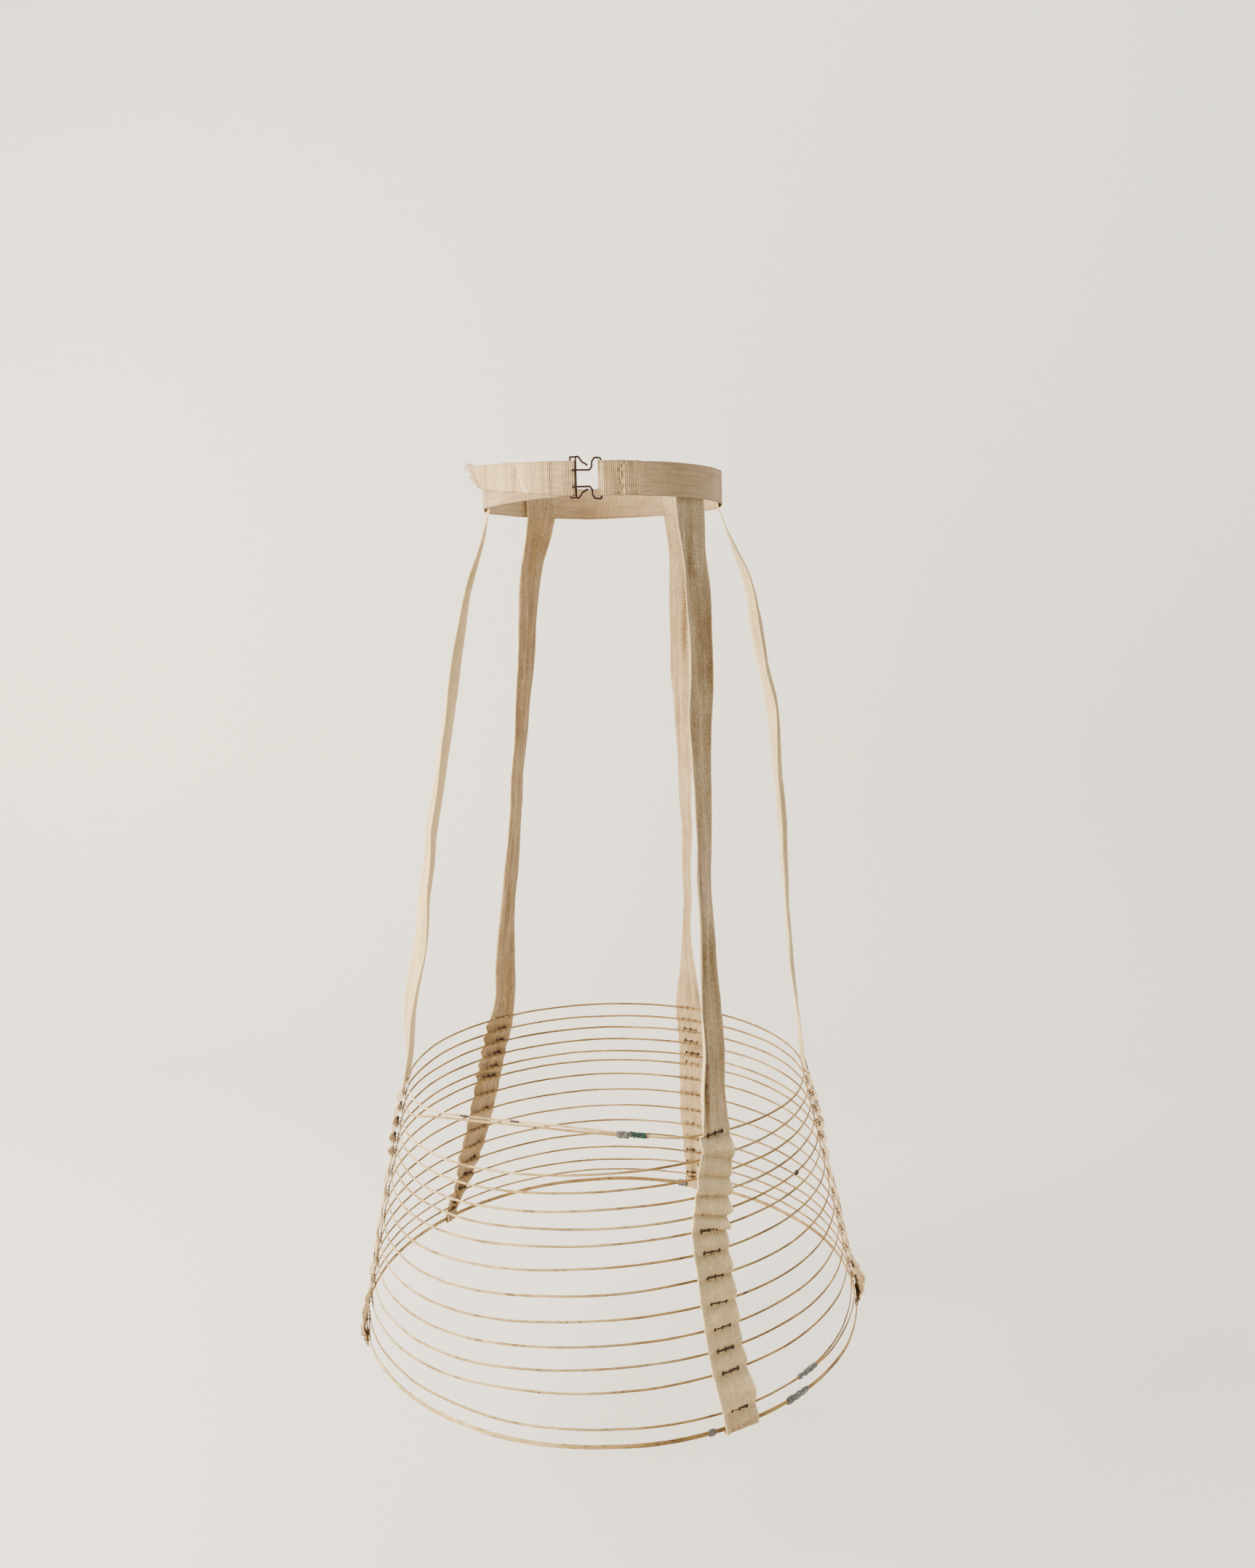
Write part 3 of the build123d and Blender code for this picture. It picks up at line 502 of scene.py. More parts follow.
STRAY = 0.6 * MM


def heading(angle):
    """Unit vector at a plan angle in degrees."""
    return np.array([math.cos(math.radians(angle)), math.sin(math.radians(angle)), 0.0])


def ring(radius, start, end, z, step=4 * MM, centre=(0.0, 0.0)):
    """Points of a level arc between two plan angles in degrees."""
    count = max(3, int(abs(math.radians(end - start)) * radius / step) + 1)
    angle = np.radians(np.linspace(start, end, count))
    x, y = centre[0] + radius * np.cos(angle), centre[1] + radius * np.sin(angle)
    return np.stack([x, y, np.full(count, z)], 1)


def on_row(row, start, end, step=4 * MM, shift=0.0):
    """Points along a row between two plan angles. The bottom hoop's wire sits a little
    inside the cone."""
    inset = RIBBON_INSET if row == BOTTOM else 0.0
    return ring(cone_radius(ROW_DROPS[row]) - inset + shift, start, end, -ROW_DROPS[row], step)


def tangent_bend(place, inward, radius):
    """Radius and middle of the arc that leaves a place and meets a circle from inside."""
    bend = (radius**2 - place @ place) / (2 * (radius + place @ inward))
    return bend, place + inward * bend


def right_bend():
    """Radius and middle of the top hoop's wide bend, from the kink back to the round."""
    kink_in = heading(KINK_SLOPE + 90)[:2]
    return tangent_bend(KINK_CENTRE - kink_in * KINK_RADIUS, kink_in, TOP_RADIUS)


def top_hoop_path():
    """Round the back, one bend at the left, straight across the front, a kink, and a wide
    bend back to the round, all level. It starts inside the ferrule."""
    z = -ROW_DROPS[0]
    flat_end = FLAT_START + ALONG * FLAT_LENGTH
    slope = math.degrees(FLAT_HEADING)
    left, left_centre = tangent_bend(FLAT_START, INWARD, TOP_RADIUS)
    right, right_centre = right_bend()
    left_join = math.degrees(math.atan2(left_centre[1], left_centre[0])) + 360
    right_join = math.degrees(math.atan2(right_centre[1], right_centre[0]))
    seam = FLAT_START + ALONG * (FERRULE_START + FERRULE_LENGTH / 2)
    legs = [
        np.array([[*seam, z], [*flat_end, z]]),
        ring(KINK_RADIUS, slope - 90, KINK_SLOPE - 90, z, centre=KINK_CENTRE),
        ring(right, KINK_SLOPE - 90, right_join, z, centre=right_centre),
        ring(TOP_RADIUS, right_join, left_join, z),
        ring(left, left_join, slope + 270, z, centre=left_centre),
        np.array([[*FLAT_START, z], [*seam, z]]),
    ]
    return np.concatenate(legs)


def bend_points(joint, tangent, end, count=40):
    """Points of the one arc that leaves a joint with a tangent and reaches an end."""
    reach = end - joint
    inward = unit(reach - tangent * (reach @ tangent))
    radius = (reach @ reach) / (2 * (reach @ inward))
    angle = np.linspace(0, 2 * math.atan2(reach @ inward, reach @ tangent), count)[:, None]
    return joint + radius * (np.sin(angle) * tangent + (1 - np.cos(angle)) * inward)


def step_points(start, leave, end, arrive):
    """Two tangent arcs from one level run down to the next."""
    across, both = end - start, leave + arrive
    square = 2 * (leave @ arrive - 1)
    slope = -2 * (across @ both)
    reach = (-slope - math.sqrt(slope**2 - 4 * square * (across @ across))) / (2 * square)
    first, last = start + leave * reach, end - arrive * reach
    joint, tangent = (first + last) / 2, unit(last - first)
    return np.concatenate([bend_points(joint, -tangent, start)[::-1], bend_points(joint, tangent, end)])


def spiral_path():
    """Out of the ferrule under the top hoop, then twelve level turns with a step down
    between them, and last down to run inside hoop 14 to its clip."""
    under = -(ROW_DROPS[0] + WIRE_TALL + WIRE_GAP)
    lead = FLAT_START + ALONG * (FERRULE_START + FERRULE_LENGTH / 2)
    start = np.array([*FLAT_START, under])
    legs = [np.array([[*lead, under], start])]
    leave = -np.array([*ALONG, 0.0])
    for row in range(1, HOOP_14):
        arrive_at = heading(STEP_END) * cone_radius(ROW_DROPS[row]) + np.array([0, 0, -ROW_DROPS[row]])
        legs.append(step_points(start, leave, arrive_at, heading(STEP_END - 90)))
        end_angle = TAIL_START if row == HOOP_14 - 1 else STEP_START
        legs.append(on_row(row, STEP_END + 360, end_angle))
        start, leave = legs[-1][-1], heading(end_angle - 90)
    inside = -(WIRE_THICK + WIRE_GAP)
    tail = on_row(HOOP_14, TAIL_LEVEL, TAIL_END, shift=inside)
    legs.append(step_points(start, leave, tail[0], heading(TAIL_LEVEL - 90)))
    legs.append(tail)
    return np.concatenate(legs)


def tape_angle(name, drop):
    """Plan angle that a tape has reached at a drop."""
    knots = np.array(TAPES[name][2])
    return np.interp(drop, knots[:, 0] * MM, knots[:, 1])


def clear_of_tapes(path):
    """0 where a wire crosses a tape, 1 well away from all of them."""
    angle = np.degrees(np.arctan2(path[:, 1], path[:, 0]))
    free = np.ones(len(path))
    for name in TAPES:
        apart = np.abs((angle - tape_angle(name, -path[:, 2]) + 180) % 360 - 180)
        free = np.minimum(free, smooth((apart - 5) / 14))
    return free


def wire(name, path, tall, thick, closed, seed, flaking, kept=0.42, step=4 * MM):
    """A covered wire: a rounded flat section carried upright along its path, a little
    lumpy, and thinner where the cover has flaked. flaking gives, point by
    point, how much of it has, in dashes; kept is how pale the paper at the left of the front
    is, as clean paper and as painted light from the left window. Away from the tapes the wire
    strays a little from its true line."""
    path = even(path, step)
    if closed:
        path = path[:-1]
    count = len(path)
    number = np.arange(count)
    fade = clear_of_tapes(path) * smooth(np.minimum(number, number[::-1]) / 12)
    out = unit(path * np.array([1, 1, 0]))
    path = path + out * (fade * wander(count, 22, seed) * STRAY)[:, None]
    path[:, 2] += fade * wander(count, 30, seed + 1) * STRAY
    dashes = wander(count, 3, seed + 2, 2)
    bare = np.clip((dashes + flaking(path) * 2 - 1.75) * 2.5, 0, 1)
    swell = (1 + 0.05 * wander(count, 3, seed + 3, 2) - 0.12 * bare)[:, None]
    across, up = flat_section(tall, thick)
    on_cage = on_axis(path)
    points = beside(on_cage, *sides(on_cage, closed), across * swell, up * swell)
    columns = len(across)
    faces = grid_faces(count, columns, True, True) if closed else tube_faces(count, columns)
    around = np.linspace(0, 2 * (tall + thick), columns, endpoint=False)
    uv = np.stack(np.broadcast_arrays(length_along(path)[:, None], around[None, :]), -1)
    # Paler at the left of the front: clean paper and painted light from the left window.
    front = smooth((20 * MM - path[:, 1]) / (90 * MM))
    left = smooth((110 * MM - path[:, 0]) / (220 * MM))
    clean_and_lit = np.clip(front * left * kept * 1.15 + 0.25 * wander(count, 18, seed + 4), 0, 1)
    values = {"bare": np.repeat(bare, columns), "clean_and_lit": np.repeat(clean_and_lit, columns)}
    return add_piece(name, points, faces, COVERED, uv, values)


def torn_front(path):
    """The cover is torn in dashes on the left of the flat front, and worn along the rest."""
    front = smooth((-path[:, 1] - 75 * MM) / (25 * MM))
    left = smooth((40 * MM - path[:, 0]) / (60 * MM))
    return 0.16 + 0.42 * front * left


def even_wear(path):
    """Worn most over the front, where hands and feet have caught it."""
    return 0.12 + 0.12 * smooth((-path[:, 1]) / (150 * MM))


def wires():
    """The top hoop, the spiral, hoop 14 and the wider bottom hoop."""
    top = wire("top_hoop_covered", top_hoop_path(), WIRE_TALL, WIRE_THICK, True, 11, torn_front,
               kept=0.8)
    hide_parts("top_hoop")
    turns = wire("spiral_wire_covered", spiral_path(), WIRE_TALL, WIRE_THICK, False, 21, even_wear,
                 step=4.6 * MM)
    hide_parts(*[f"spiral_turn_{row}" for row in range(1, HOOP_14)])
    hoop = wire("hoop_14_covered", on_row(HOOP_14, HOOP_14_SEAM, HOOP_14_SEAM + 360),
                WIRE_TALL, WIRE_THICK, True, 31, even_wear)
    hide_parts("hoop_14")
    low = wire("bottom_hoop_covered", on_row(BOTTOM, BOTTOM_SEAM, BOTTOM_SEAM + 360),
               RIBBON_TALL, RIBBON_THICK, True, 41, even_wear)
    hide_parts("bottom_hoop")


# ---- waist oval and band ---------------------------------------------------------------

SIDE_CENTRE = WAIST_HALF_WIDTH - WAIST_SIDE_RADIUS
FRONT_RADIUS = (SIDE_CENTRE**2 + WAIST_HALF_DEPTH**2 - WAIST_SIDE_RADIUS**2) / (
    2 * (WAIST_HALF_DEPTH - WAIST_SIDE_RADIUS))
FRONT_CENTRE = FRONT_RADIUS - WAIST_HALF_DEPTH
JOIN_ANGLE = math.degrees(math.atan2(FRONT_CENTRE, SIDE_CENTRE))


def at_side(normal):
    """Whether the waist oval has its side radius where it faces a plan angle."""
    facing = np.abs((normal + 180) % 360 - 180)
    return (facing <= JOIN_ANGLE) | (facing >= 180 - JOIN_ANGLE)


def oval(normal, offset):
    """Plan points of the waist oval that face the given plan angles, moved out by an offset:
    arcs of one radius at the sides and another at front and back."""
    normal, offset = np.broadcast_arrays(np.asarray(normal, float), np.asarray(offset, float))
    facing = (normal + 180) % 360 - 180
    side = at_side(normal)
    right = np.abs(facing) < 90
    radius = np.where(side, WAIST_SIDE_RADIUS, FRONT_RADIUS) + offset
    x = np.where(side, np.where(right, SIDE_CENTRE, -SIDE_CENTRE), 0.0)
    y = np.where(side, 0.0, np.where(facing < 0, FRONT_CENTRE, -FRONT_CENTRE))
    angle = np.radians(facing)
    return np.stack([x + radius * np.cos(angle), y + radius * np.sin(angle)], -1)


def band_line():
    """Plan line of the waist tape from the end of the right hem, round the hook's wire, round
    the waist, round the slide, and back over itself to the frayed end. Also the lengths
    where it leaves the hook's wire and where it leaves the slide."""
    half, gap = BAND_THICK / 2, CLASP_GAP
    hem_end = HEM_NORMAL + math.degrees(HOOK_HEM / FRONT_RADIUS)
    hem = np.linspace(hem_end, HEM_NORMAL, 14)
    closing = smooth((hem - HEM_NORMAL) / 5)
    hem_line = oval(hem, -(2 * half + gap + half) + closing * (gap - 0.3 * MM))
    around = np.linspace(0, math.pi, 12)[1:-1]
    bend = gap / 2 + half

    def fold(normal, middle, side):
        """Half circle from the inner layer to the outer one, bulging along the band."""
        out = oval(normal, middle - bend * np.cos(around))
        tangent = np.array([-math.sin(math.radians(normal)), math.cos(math.radians(normal))])
        return out + side * tangent * (bend * np.sin(around))[:, None]

    main = np.concatenate([np.linspace(HEM_NORMAL, HEM_NORMAL + 20, 61)[:-1],
                           np.linspace(HEM_NORMAL + 20, LOOP_NORMAL, 270)])
    back = np.linspace(LOOP_NORMAL, FRAYED_END_ANGLE, 120)
    lying = smooth((LOOP_NORMAL - back) / 16)
    flare_from = 222
    flare = np.clip((flare_from - back) / (flare_from - FRAYED_END_ANGLE), 0, 1) ** 2
    outer = oval(back, gap + half - lying * (gap - 0.5 * MM) + flare * FRAYED_STAND_OFF)
    legs = [hem_line, fold(HEM_NORMAL, -2 * half - gap / 2, -1), oval(main, -half),
            fold(LOOP_NORMAL, gap / 2, 1), outer]
    line = np.concatenate(legs)
    marks = np.cumsum([len(leg) for leg in legs])
    at = length_along(line)
    return line, at[marks[1]], at[marks[3]]


def waistband():
    """The waist tape: a strip on edge along its plan line. It has small puckers, a sewn hem
    that dips along its stitches, a crease, and a turned-back end that rides up and narrows
    to where it has frayed."""
    line, hooked, looped = band_line()
    at = length_along(line)
    count, columns = len(line), 25
    high = np.linspace(-0.5, 0.5, columns)
    ahead = unit(np.gradient(line, axis=0))
    out = np.stack([ahead[:, 1], -ahead[:, 0]], 1)
    turned = np.clip((at - looped) / (at[-1] - looped), 0, 1)
    height = BAND_HEIGHT * (1 - 0.30 * turned**1.3)
    rise = 12.5 * MM * turned**1.15 + 0.5 * MM * wander(count, 40, 5) * (1 - turned)
    z = rise[:, None] + high[None, :] * height[:, None]

    over = smooth((at - looped) / (12 * MM))[:, None]
    near_hem = smooth(1 - np.abs(at - hooked - 20 * MM)[:, None] / (18 * MM))
    cup = (high[None, :] ** 2 - 0.08) * 1.6 * over
    ripple = wander(count, 9, 51)[:, None] * 0.35 + wander(count, 5, 52)[:, None] * high * 0.5
    stitches = hooked + HOOK_HEM * 0.72 + 1.6 * MM * np.sin(high * 19) + 1.1 * MM * np.sin(high * 47)
    from_stitches = at[:, None] - stitches[None, :]
    crease = looped + 52 * MM + 13 * MM * high
    ridge = bell(at[:, None] - crease[None, :], 1.8 * MM)
    puff = ripple * (0.6 + 0.8 * near_hem) + over * (1.1 * wander(count, 14, 53)[:, None] ** 2 + cup)
    puff = puff - 0.9 * bell(from_stitches, 0.9 * MM) + 0.9 * ridge
    xy = line[:, None, :] + out[:, None, :] * (puff * MM)[..., None]

    last = smooth((at - (at[-1] - 16 * MM)) / (16 * MM))
    fringe = wander(columns, 3, 54, 2) * 1.6 * MM + 13 * MM * high
    z = z + last[:, None] ** 2 * np.clip(high + 0.2, 0, 1)[None, :] * 4 * MM
    xy = xy + ahead[:, None, :] * (last[:, None] * fringe[None, :])[..., None]
    points = in_band(np.concatenate([xy, z[..., None]], -1).reshape(-1, 3))
    uv = np.stack(np.broadcast_arrays(high[None, :] * BAND_HEIGHT, at[:, None]), -1)

    edge = smooth((np.abs(high) - 0.40) / 0.1)[None, :] * 0.25
    back = smooth((at - looped) / (4 * MM))
    # Painted shade on the outer layer where it bends into the slide.
    slide_shade = back * (1 - smooth((at - looped - 8 * MM) / (30 * MM)))
    soil_and_shading = edge * 0.7 + 0.12 * wander(count, 20, 55)[:, None]
    soil_and_shading = soil_and_shading + 0.12 * last[:, None] + 0.22 * slide_shade[:, None]
    soil_and_shading = soil_and_shading - 0.9 * bell(at - hooked - 1.2 * MM, 1.6 * MM)[:, None]
    # Painted highlight on the crease's ridge and on the outer layer beyond the slide, which faces the
    # light.
    soil_and_shading = soil_and_shading - 0.5 * ridge - 0.25 * (back * (1 - slide_shade))[:, None]
    soil_and_shading = np.clip(soil_and_shading + 0.3 * bell(from_stitches, 0.5 * MM), -1, 1)
    band = add_piece("waist_tape", points, grid_faces(count, columns), BAND_COTTON,
                     uv, {"soil_and_shading": soil_and_shading})
    thicken(band, BAND_THICK * CLOTH_SHARE)
    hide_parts("waistband")
    end = points.reshape(count, columns, 3)[-1]
    fray = frayed_threads(end, in_band(np.array([[*ahead[-1], 0.0]]))[0])


def frayed_threads(end, ahead):
    """Loose threads at the band's frayed end: fine tubes that leave the edge, and droop and
    curl more the further they reach."""
    draw = np.random.default_rng(61)
    made = []
    t = np.linspace(0, 1, 8)[:, None]
    for _ in range(26):
        place = end[0] + (end[-1] - end[0]) * draw.uniform(0, 1)
        length = draw.uniform(3, 9) * MM
        side = np.array([draw.normal(0, 0.35), draw.normal(0, 0.35), draw.normal(-0.1, 0.5)])
        path = place + ahead * length * (t - 0.25) + side * length * t**2 * 0.7
        made.append(tube(path, 0.22 * MM, 5, (0.3, 0.2, 1.0)))
    points, faces = joined(made)
    return add_piece("frayed_end", points, faces, BAND_COTTON,
                     np.zeros((len(points), 2)), {"soil_and_shading": np.zeros(len(points))})


# ---- tapes -----------------------------------------------------------------------------

# How each tape hangs, with drops in mm. facing: (drop, plan angle it faces there) above the
# rows; turned: how far it faces away from the cone down the rows, as (drop, degrees); bulge:
# how far it puffs out between the close upper rows and the lower ones, as a share of their
# distance; curl: how far its two edges turn, in degrees; narrow: share of its width that is
# gathered in, as (drop, share); seed: its wrinkles; the tone for age and light: how brown it
# has gone and how much painted shade darkens it, or below 0 how washed out it is and how much
# painted light brightens it, above the hoops and down them; the fold line: the painted shade
# in the groove behind its left edge and the painted highlight on that edge; foot: how much
# darker its foot is; leaf: the edge that stands out near the bottom, between which drops, how
# far in mm, and how much painted shade darkens it, or below 0 how much lighter it is.
HANG = {
    "left": dict(
        facing=[(0, 190), (200, 194), (420, 213), (505, 206)], turned=[(541, 4), (771, -2)],
        bulge=(0.19, 0.11), curl=(22, 40), narrow=[(740, 0.0), (771, 0.35)], seed=71,
        age_and_light=(-0.6, -0.2), fold_shade_and_highlight=0.0, foot=0.5, leaf=(1, 722, 771, 5.5, -0.4)),
    "back_left": dict(
        facing=[(0, 126), (120, 146), (230, 160), (330, 160), (431, 150)],
        turned=[(541, 1), (700, 2), (771, 12)],
        bulge=(0.19, 0.10), curl=(34, 26), narrow=[(700, 0.0), (771, 0.5)], seed=72,
        age_and_light=(0.18, 0.22), fold_shade_and_highlight=0.0, foot=0.15, leaf=None),
    "back_right": dict(
        facing=[(0, 50), (120, 38), (246, 22), (363, 12), (431, 6), (500, 30)],
        turned=[(541, -2), (690, -6), (771, -14)],
        bulge=(0.20, 0.10), curl=(18, 14), narrow=[(680, 0.0), (771, 0.42)], seed=73,
        age_and_light=(-0.05, -0.25), fold_shade_and_highlight=0.0, foot=0.15, leaf=None),
    "right": dict(
        facing=[(0, -3), (120, -13), (300, -15), (450, -10)], turned=[(541, 0), (771, 4)],
        bulge=(0.17, 0.11), curl=(30, 24), narrow=[(700, 0.0), (771, 0.2)], seed=74,
        age_and_light=(-0.5, -0.05), fold_shade_and_highlight=0.0, foot=0.15, leaf=(-1, 726, 771, 7.0, 0.2)),
    "front_right": dict(
        facing=[(0, -50), (140, -56), (200, -46), (260, -34), (350, -29), (415, -39), (485, -44)],
        turned=[(541, 3), (590, 1), (771, 1)],
        bulge=(0.15, 0.12), curl=(40, 16), narrow=[(700, 0.0), (771, 0.0)], seed=75,
        age_and_light=(0.12, -0.55), fold_shade_and_highlight=0.7, foot=0.15, leaf=None),
}
# How many of the upper rows are close together, with slacker cloth between them.
CLOSE_ROWS = 5
TAPE_COLUMNS = 45


def inner_face(drop):
    """How far from the cone's axis a tape's inner face lies: on the wires, with a little air."""
    return cone_radius(drop) + WIRE_THICK / 2 + SEAT


def front_row_face():
    """Where the front tape's inner face stands at the top hoop's wide right bend."""
    bend, centre = right_bend()
    angle = math.radians(tape_angle("front_right", ROW_DROPS[0]))
    out = centre @ np.array([math.cos(angle), math.sin(angle)])
    across = centre @ np.array([-math.sin(angle), math.cos(angle)])
    reach = out + math.sqrt(bend**2 - (TAPE_WIDTH / 2 - across) ** 2)
    return reach + WIRE_THICK / 2 + SEAT


def upper_line(name, behind, start, hoop):
    """A tape's middle line from behind the band to just above the top hoop: runs from knot
    to knot, at the shares of the way out that its table gives, softened but for both ends."""
    knots = list(behind)
    for drop, share in TAPES[name][1]:
        place = start + (hoop - start) * share
        knots.append(np.array([place[0], place[1], -drop * MM]))
    line = even(np.array([*knots, hoop]), 2 * MM)
    reach = 14
    padded = np.pad(line, ((reach, reach), (0, 0)), mode="reflect", reflect_type="odd")
    soft = np.stack([blurred(padded[:, i], reach) for i in range(3)], 1)
    steps = np.arange(len(line))
    keep = smooth((steps - 10) / 10) * smooth((len(line) - 1 - steps) / 12)
    return line + (soft - line) * keep[:, None]


def tape_line(name):
    """The tape's middle line, from behind the band down over the rows, round the bottom
    hoop and up inside it. Also where the hem starts."""
    normal = TAPES[name][0]
    half = TAPE_THICK / 2
    radius = WAIST_SIDE_RADIUS if at_side(normal) else FRONT_RADIUS
    inset = BAND_THICK + SEAT + TAPE_WIDTH**2 / (8 * radius) + half
    waist = np.array([*oval(normal, -inset), 0.0])
    from_axis = np.array([-AXIS_X, 0, 0])
    top = ROW_DROPS[0]
    first = front_row_face() if name == "front_right" else inner_face(top)

    def on_cone(drop, reach):
        """A point of the middle line on a level, with the inner face a reach from the axis."""
        return heading(tape_angle(name, drop)) * (reach + half) - [0, 0, drop]

    behind = [turn(waist + [0, 0, z], BAND_TILT, "X") + from_axis
              for z in (TAPE_STRAIGHT_FROM, TAPE_STRAIGHT_TO)]
    above = 10 * MM
    hoop = on_cone(top - above, first - CONE_SLOPE * above)
    upper = upper_line(name, behind, waist + from_axis, hoop)
    lower = [hoop]
    if name == "front_right":
        lower += [on_cone(top - 2 * MM, first), on_cone(top + 2 * MM, first)]
    before_second = ROW_DROPS[1] - 4 * MM
    lower += [on_cone(drop, inner_face(drop)) for drop in [before_second, *ROW_DROPS[1:BOTTOM]]]
    turn_at = ROW_DROPS[BOTTOM] + RIBBON_TALL / 2 + SEAT
    out = heading(tape_angle(name, turn_at))
    lower.append(on_cone(turn_at, inner_face(turn_at)))
    middle = out * (inner_face(turn_at) - HEM_FOLD_GAP / 2) + [0, 0, -turn_at]
    around = np.linspace(0, math.pi, 8)[1:, None]
    fold = middle + (HEM_FOLD_GAP / 2 + half) * (np.cos(around) * out - np.sin(around) * [0, 0, 1])
    hem = fold[-1] + [0, 0, TAPE_TURN_UP + turn_at - ROW_DROPS[BOTTOM]]
    line = np.concatenate([upper[:-1], even(np.array(lower), 1.6 * MM)])
    hem_start = len(line)
    line = np.concatenate([line, fold, even(np.array([fold[-1], hem]), 1.6 * MM)[1:]])
    return line, hem_start


def row_drops(name):
    """The rows that a tape is stapled to: the spiral ends short of the front tape."""
    rows = ROW_DROPS[:BOTTOM]
    return np.delete(rows, HOOP_14 - 1) if name == "front_right" else rows


def tape_sides(name, line, drop):
    """Unit vectors across a tape and out of it: it faces the plan angles that its table
    gives, blurred so that it never turns in a step."""
    hang = HANG[name]
    top = ROW_DROPS[0]
    turned = np.array(hang["turned"], float)
    knots = np.array([*hang["facing"], (top / MM, tape_angle(name, top) + turned[0, 1])], float)
    on_rows = np.interp(drop, turned[:, 0] * MM, turned[:, 1]) + tape_angle(name, drop)
    wrap = np.round((on_rows[0] - knots[-1, 1]) / 360) * 360
    above = np.interp(drop, knots[:, 0] * MM, knots[:, 1])
    facing = np.where(drop > top, on_rows - wrap, above)
    reach = 12
    facing = np.radians(blurred(np.pad(facing, reach, mode="edge"), reach))
    ahead = unit(np.gradient(line, axis=0))
    across = np.stack([-np.sin(facing), np.cos(facing), np.zeros(len(line))], 1)
    across = unit(across - ahead * np.sum(across * ahead, 1, keepdims=True))
    return across, np.cross(ahead, across)


def between_rows(name, drop, falling):
    """Where each point of a tape lies between the rows it is stapled to. way runs from 0 at
    one row to 1 at the next, and to_row is the distance to the nearer one. arch is a sine of
    way that leans to the lower row, slack is drawn for each stretch, and puff is how far the
    cloth stands out."""
    hang = HANG[name]
    marks = np.concatenate([row_drops(name), [ROW_DROPS[BOTTOM]]])
    low = np.clip(np.searchsorted(marks, drop) - 1, 0, len(marks) - 2)
    pitch = np.diff(marks)[low]
    way = np.clip((drop - marks[low]) / pitch, 0, 1)
    inside = (drop >= marks[0]) & falling
    arch = np.where(inside, np.abs(np.sin(math.pi * way**1.8)) ** 0.8, 0.0)
    draw = np.random.default_rng(hang["seed"])
    slack = draw.uniform(0.6, 1.3, len(marks)) * np.where(np.arange(len(marks)) < CLOSE_ROWS, 1.6, 1.0)
    slack[0] *= 0.5
    puff = np.where(low < CLOSE_ROWS, *hang["bulge"]) * pitch * arch * slack[low]
    return SimpleNamespace(way=way, to_row=np.minimum(way, 1 - way) * pitch, inside=inside,
                           arch=arch, slack=slack[low], puff=puff)


def curled(name, drop, u, half):
    """Sections of a tape before its puffs: how far across and how far out each point lies,
    found by adding up short runs that turn by a bend. The bend is the curl of the two edges
    and three slow waves across it. Both are looser above the rows."""
    hang = HANG[name]
    count, seed = len(drop), hang["seed"]
    above = 1 - smooth((drop - 520 * MM) / (40 * MM))
    looseness = (0.25 + 0.75 * above) * smooth((drop - 14 * MM) / (70 * MM))
    looseness = looseness * (1 + 0.30 * wander(count, 60, seed + 10))
    left, right = np.radians(hang["curl"])
    bend = -left * smooth((-u - 0.30) / 0.70)[None, :] + right * smooth((u - 0.40) / 0.60)[None, :]
    bend = bend * looseness[:, None] * 1.45
    sway = np.stack([wander(count, 70, seed + 20 + k) for k in range(3)])
    folds = 0
    for k in range(3):
        phase = (3.2 + 2.7 * k) * u[None, :] + 1.3 * k + 0.8 * sway[k - 1][:, None]
        folds = folds + sway[k][:, None] * np.sin(phase)
    bend = bend + folds * (0.06 + 0.40 * above * smooth((drop - 10 * MM) / (50 * MM)))[:, None]
    run = u[1] - u[0]
    middle = len(u) // 2
    a, n = np.cumsum(np.cos(bend), 1) * run, np.cumsum(np.sin(bend), 1) * run
    a = (a - a[:, middle:middle + 1]) * half[:, None]
    n = (n - n[:, middle:middle + 1]) * half[:, None]
    return a, n


def puffed(name, rows, u, a, n):
    """The same sections with what the staples do to them: edges that swell into scallops,
    the puff between two rows, small ripples, and pleats that are sharpest at the rows."""
    count, seed = len(rows.way), HANG[name]["seed"]
    lobe = np.where(rows.inside, rows.way * (1 - rows.way**6) * 1.5, 0.0) * rows.slack
    left_lobe = lobe * (0.8 + 0.5 * wander(count, 25, seed + 40))
    right_lobe = lobe * (0.8 + 0.5 * wander(count, 25, seed + 41))
    lobes = np.where(u < 0, left_lobe[:, None], right_lobe[:, None])
    a = a * (1 + 0.085 * lobes * np.abs(u) ** 3)
    ripple = sum(wander(count, 5, seed + 50 + k, 2)[:, None] * np.cos((3 + 2 * k) * u + k)[None, :]
                 for k in range(3))
    n = n + rows.puff[:, None] * (1 + 0.35 * u * wander(count, 14, seed + 60)[:, None])
    n = n + 0.22 * MM * ripple * (0.4 + 1.2 * rows.arch * rows.slack)[:, None]
    pleat = (0.4 + 0.6 * bell(rows.to_row, 5 * MM)) * rows.inside
    pleat = pleat * (1 + 0.5 * wander(count, 5, seed + 61))
    drift = 2.2 * wander(count, 12, seed + 62)[:, None]
    n = n + 0.20 * MM * pleat[:, None] * (np.cos(35 * u + drift) + 0.5 * np.cos(22 * u - drift))
    return a, n


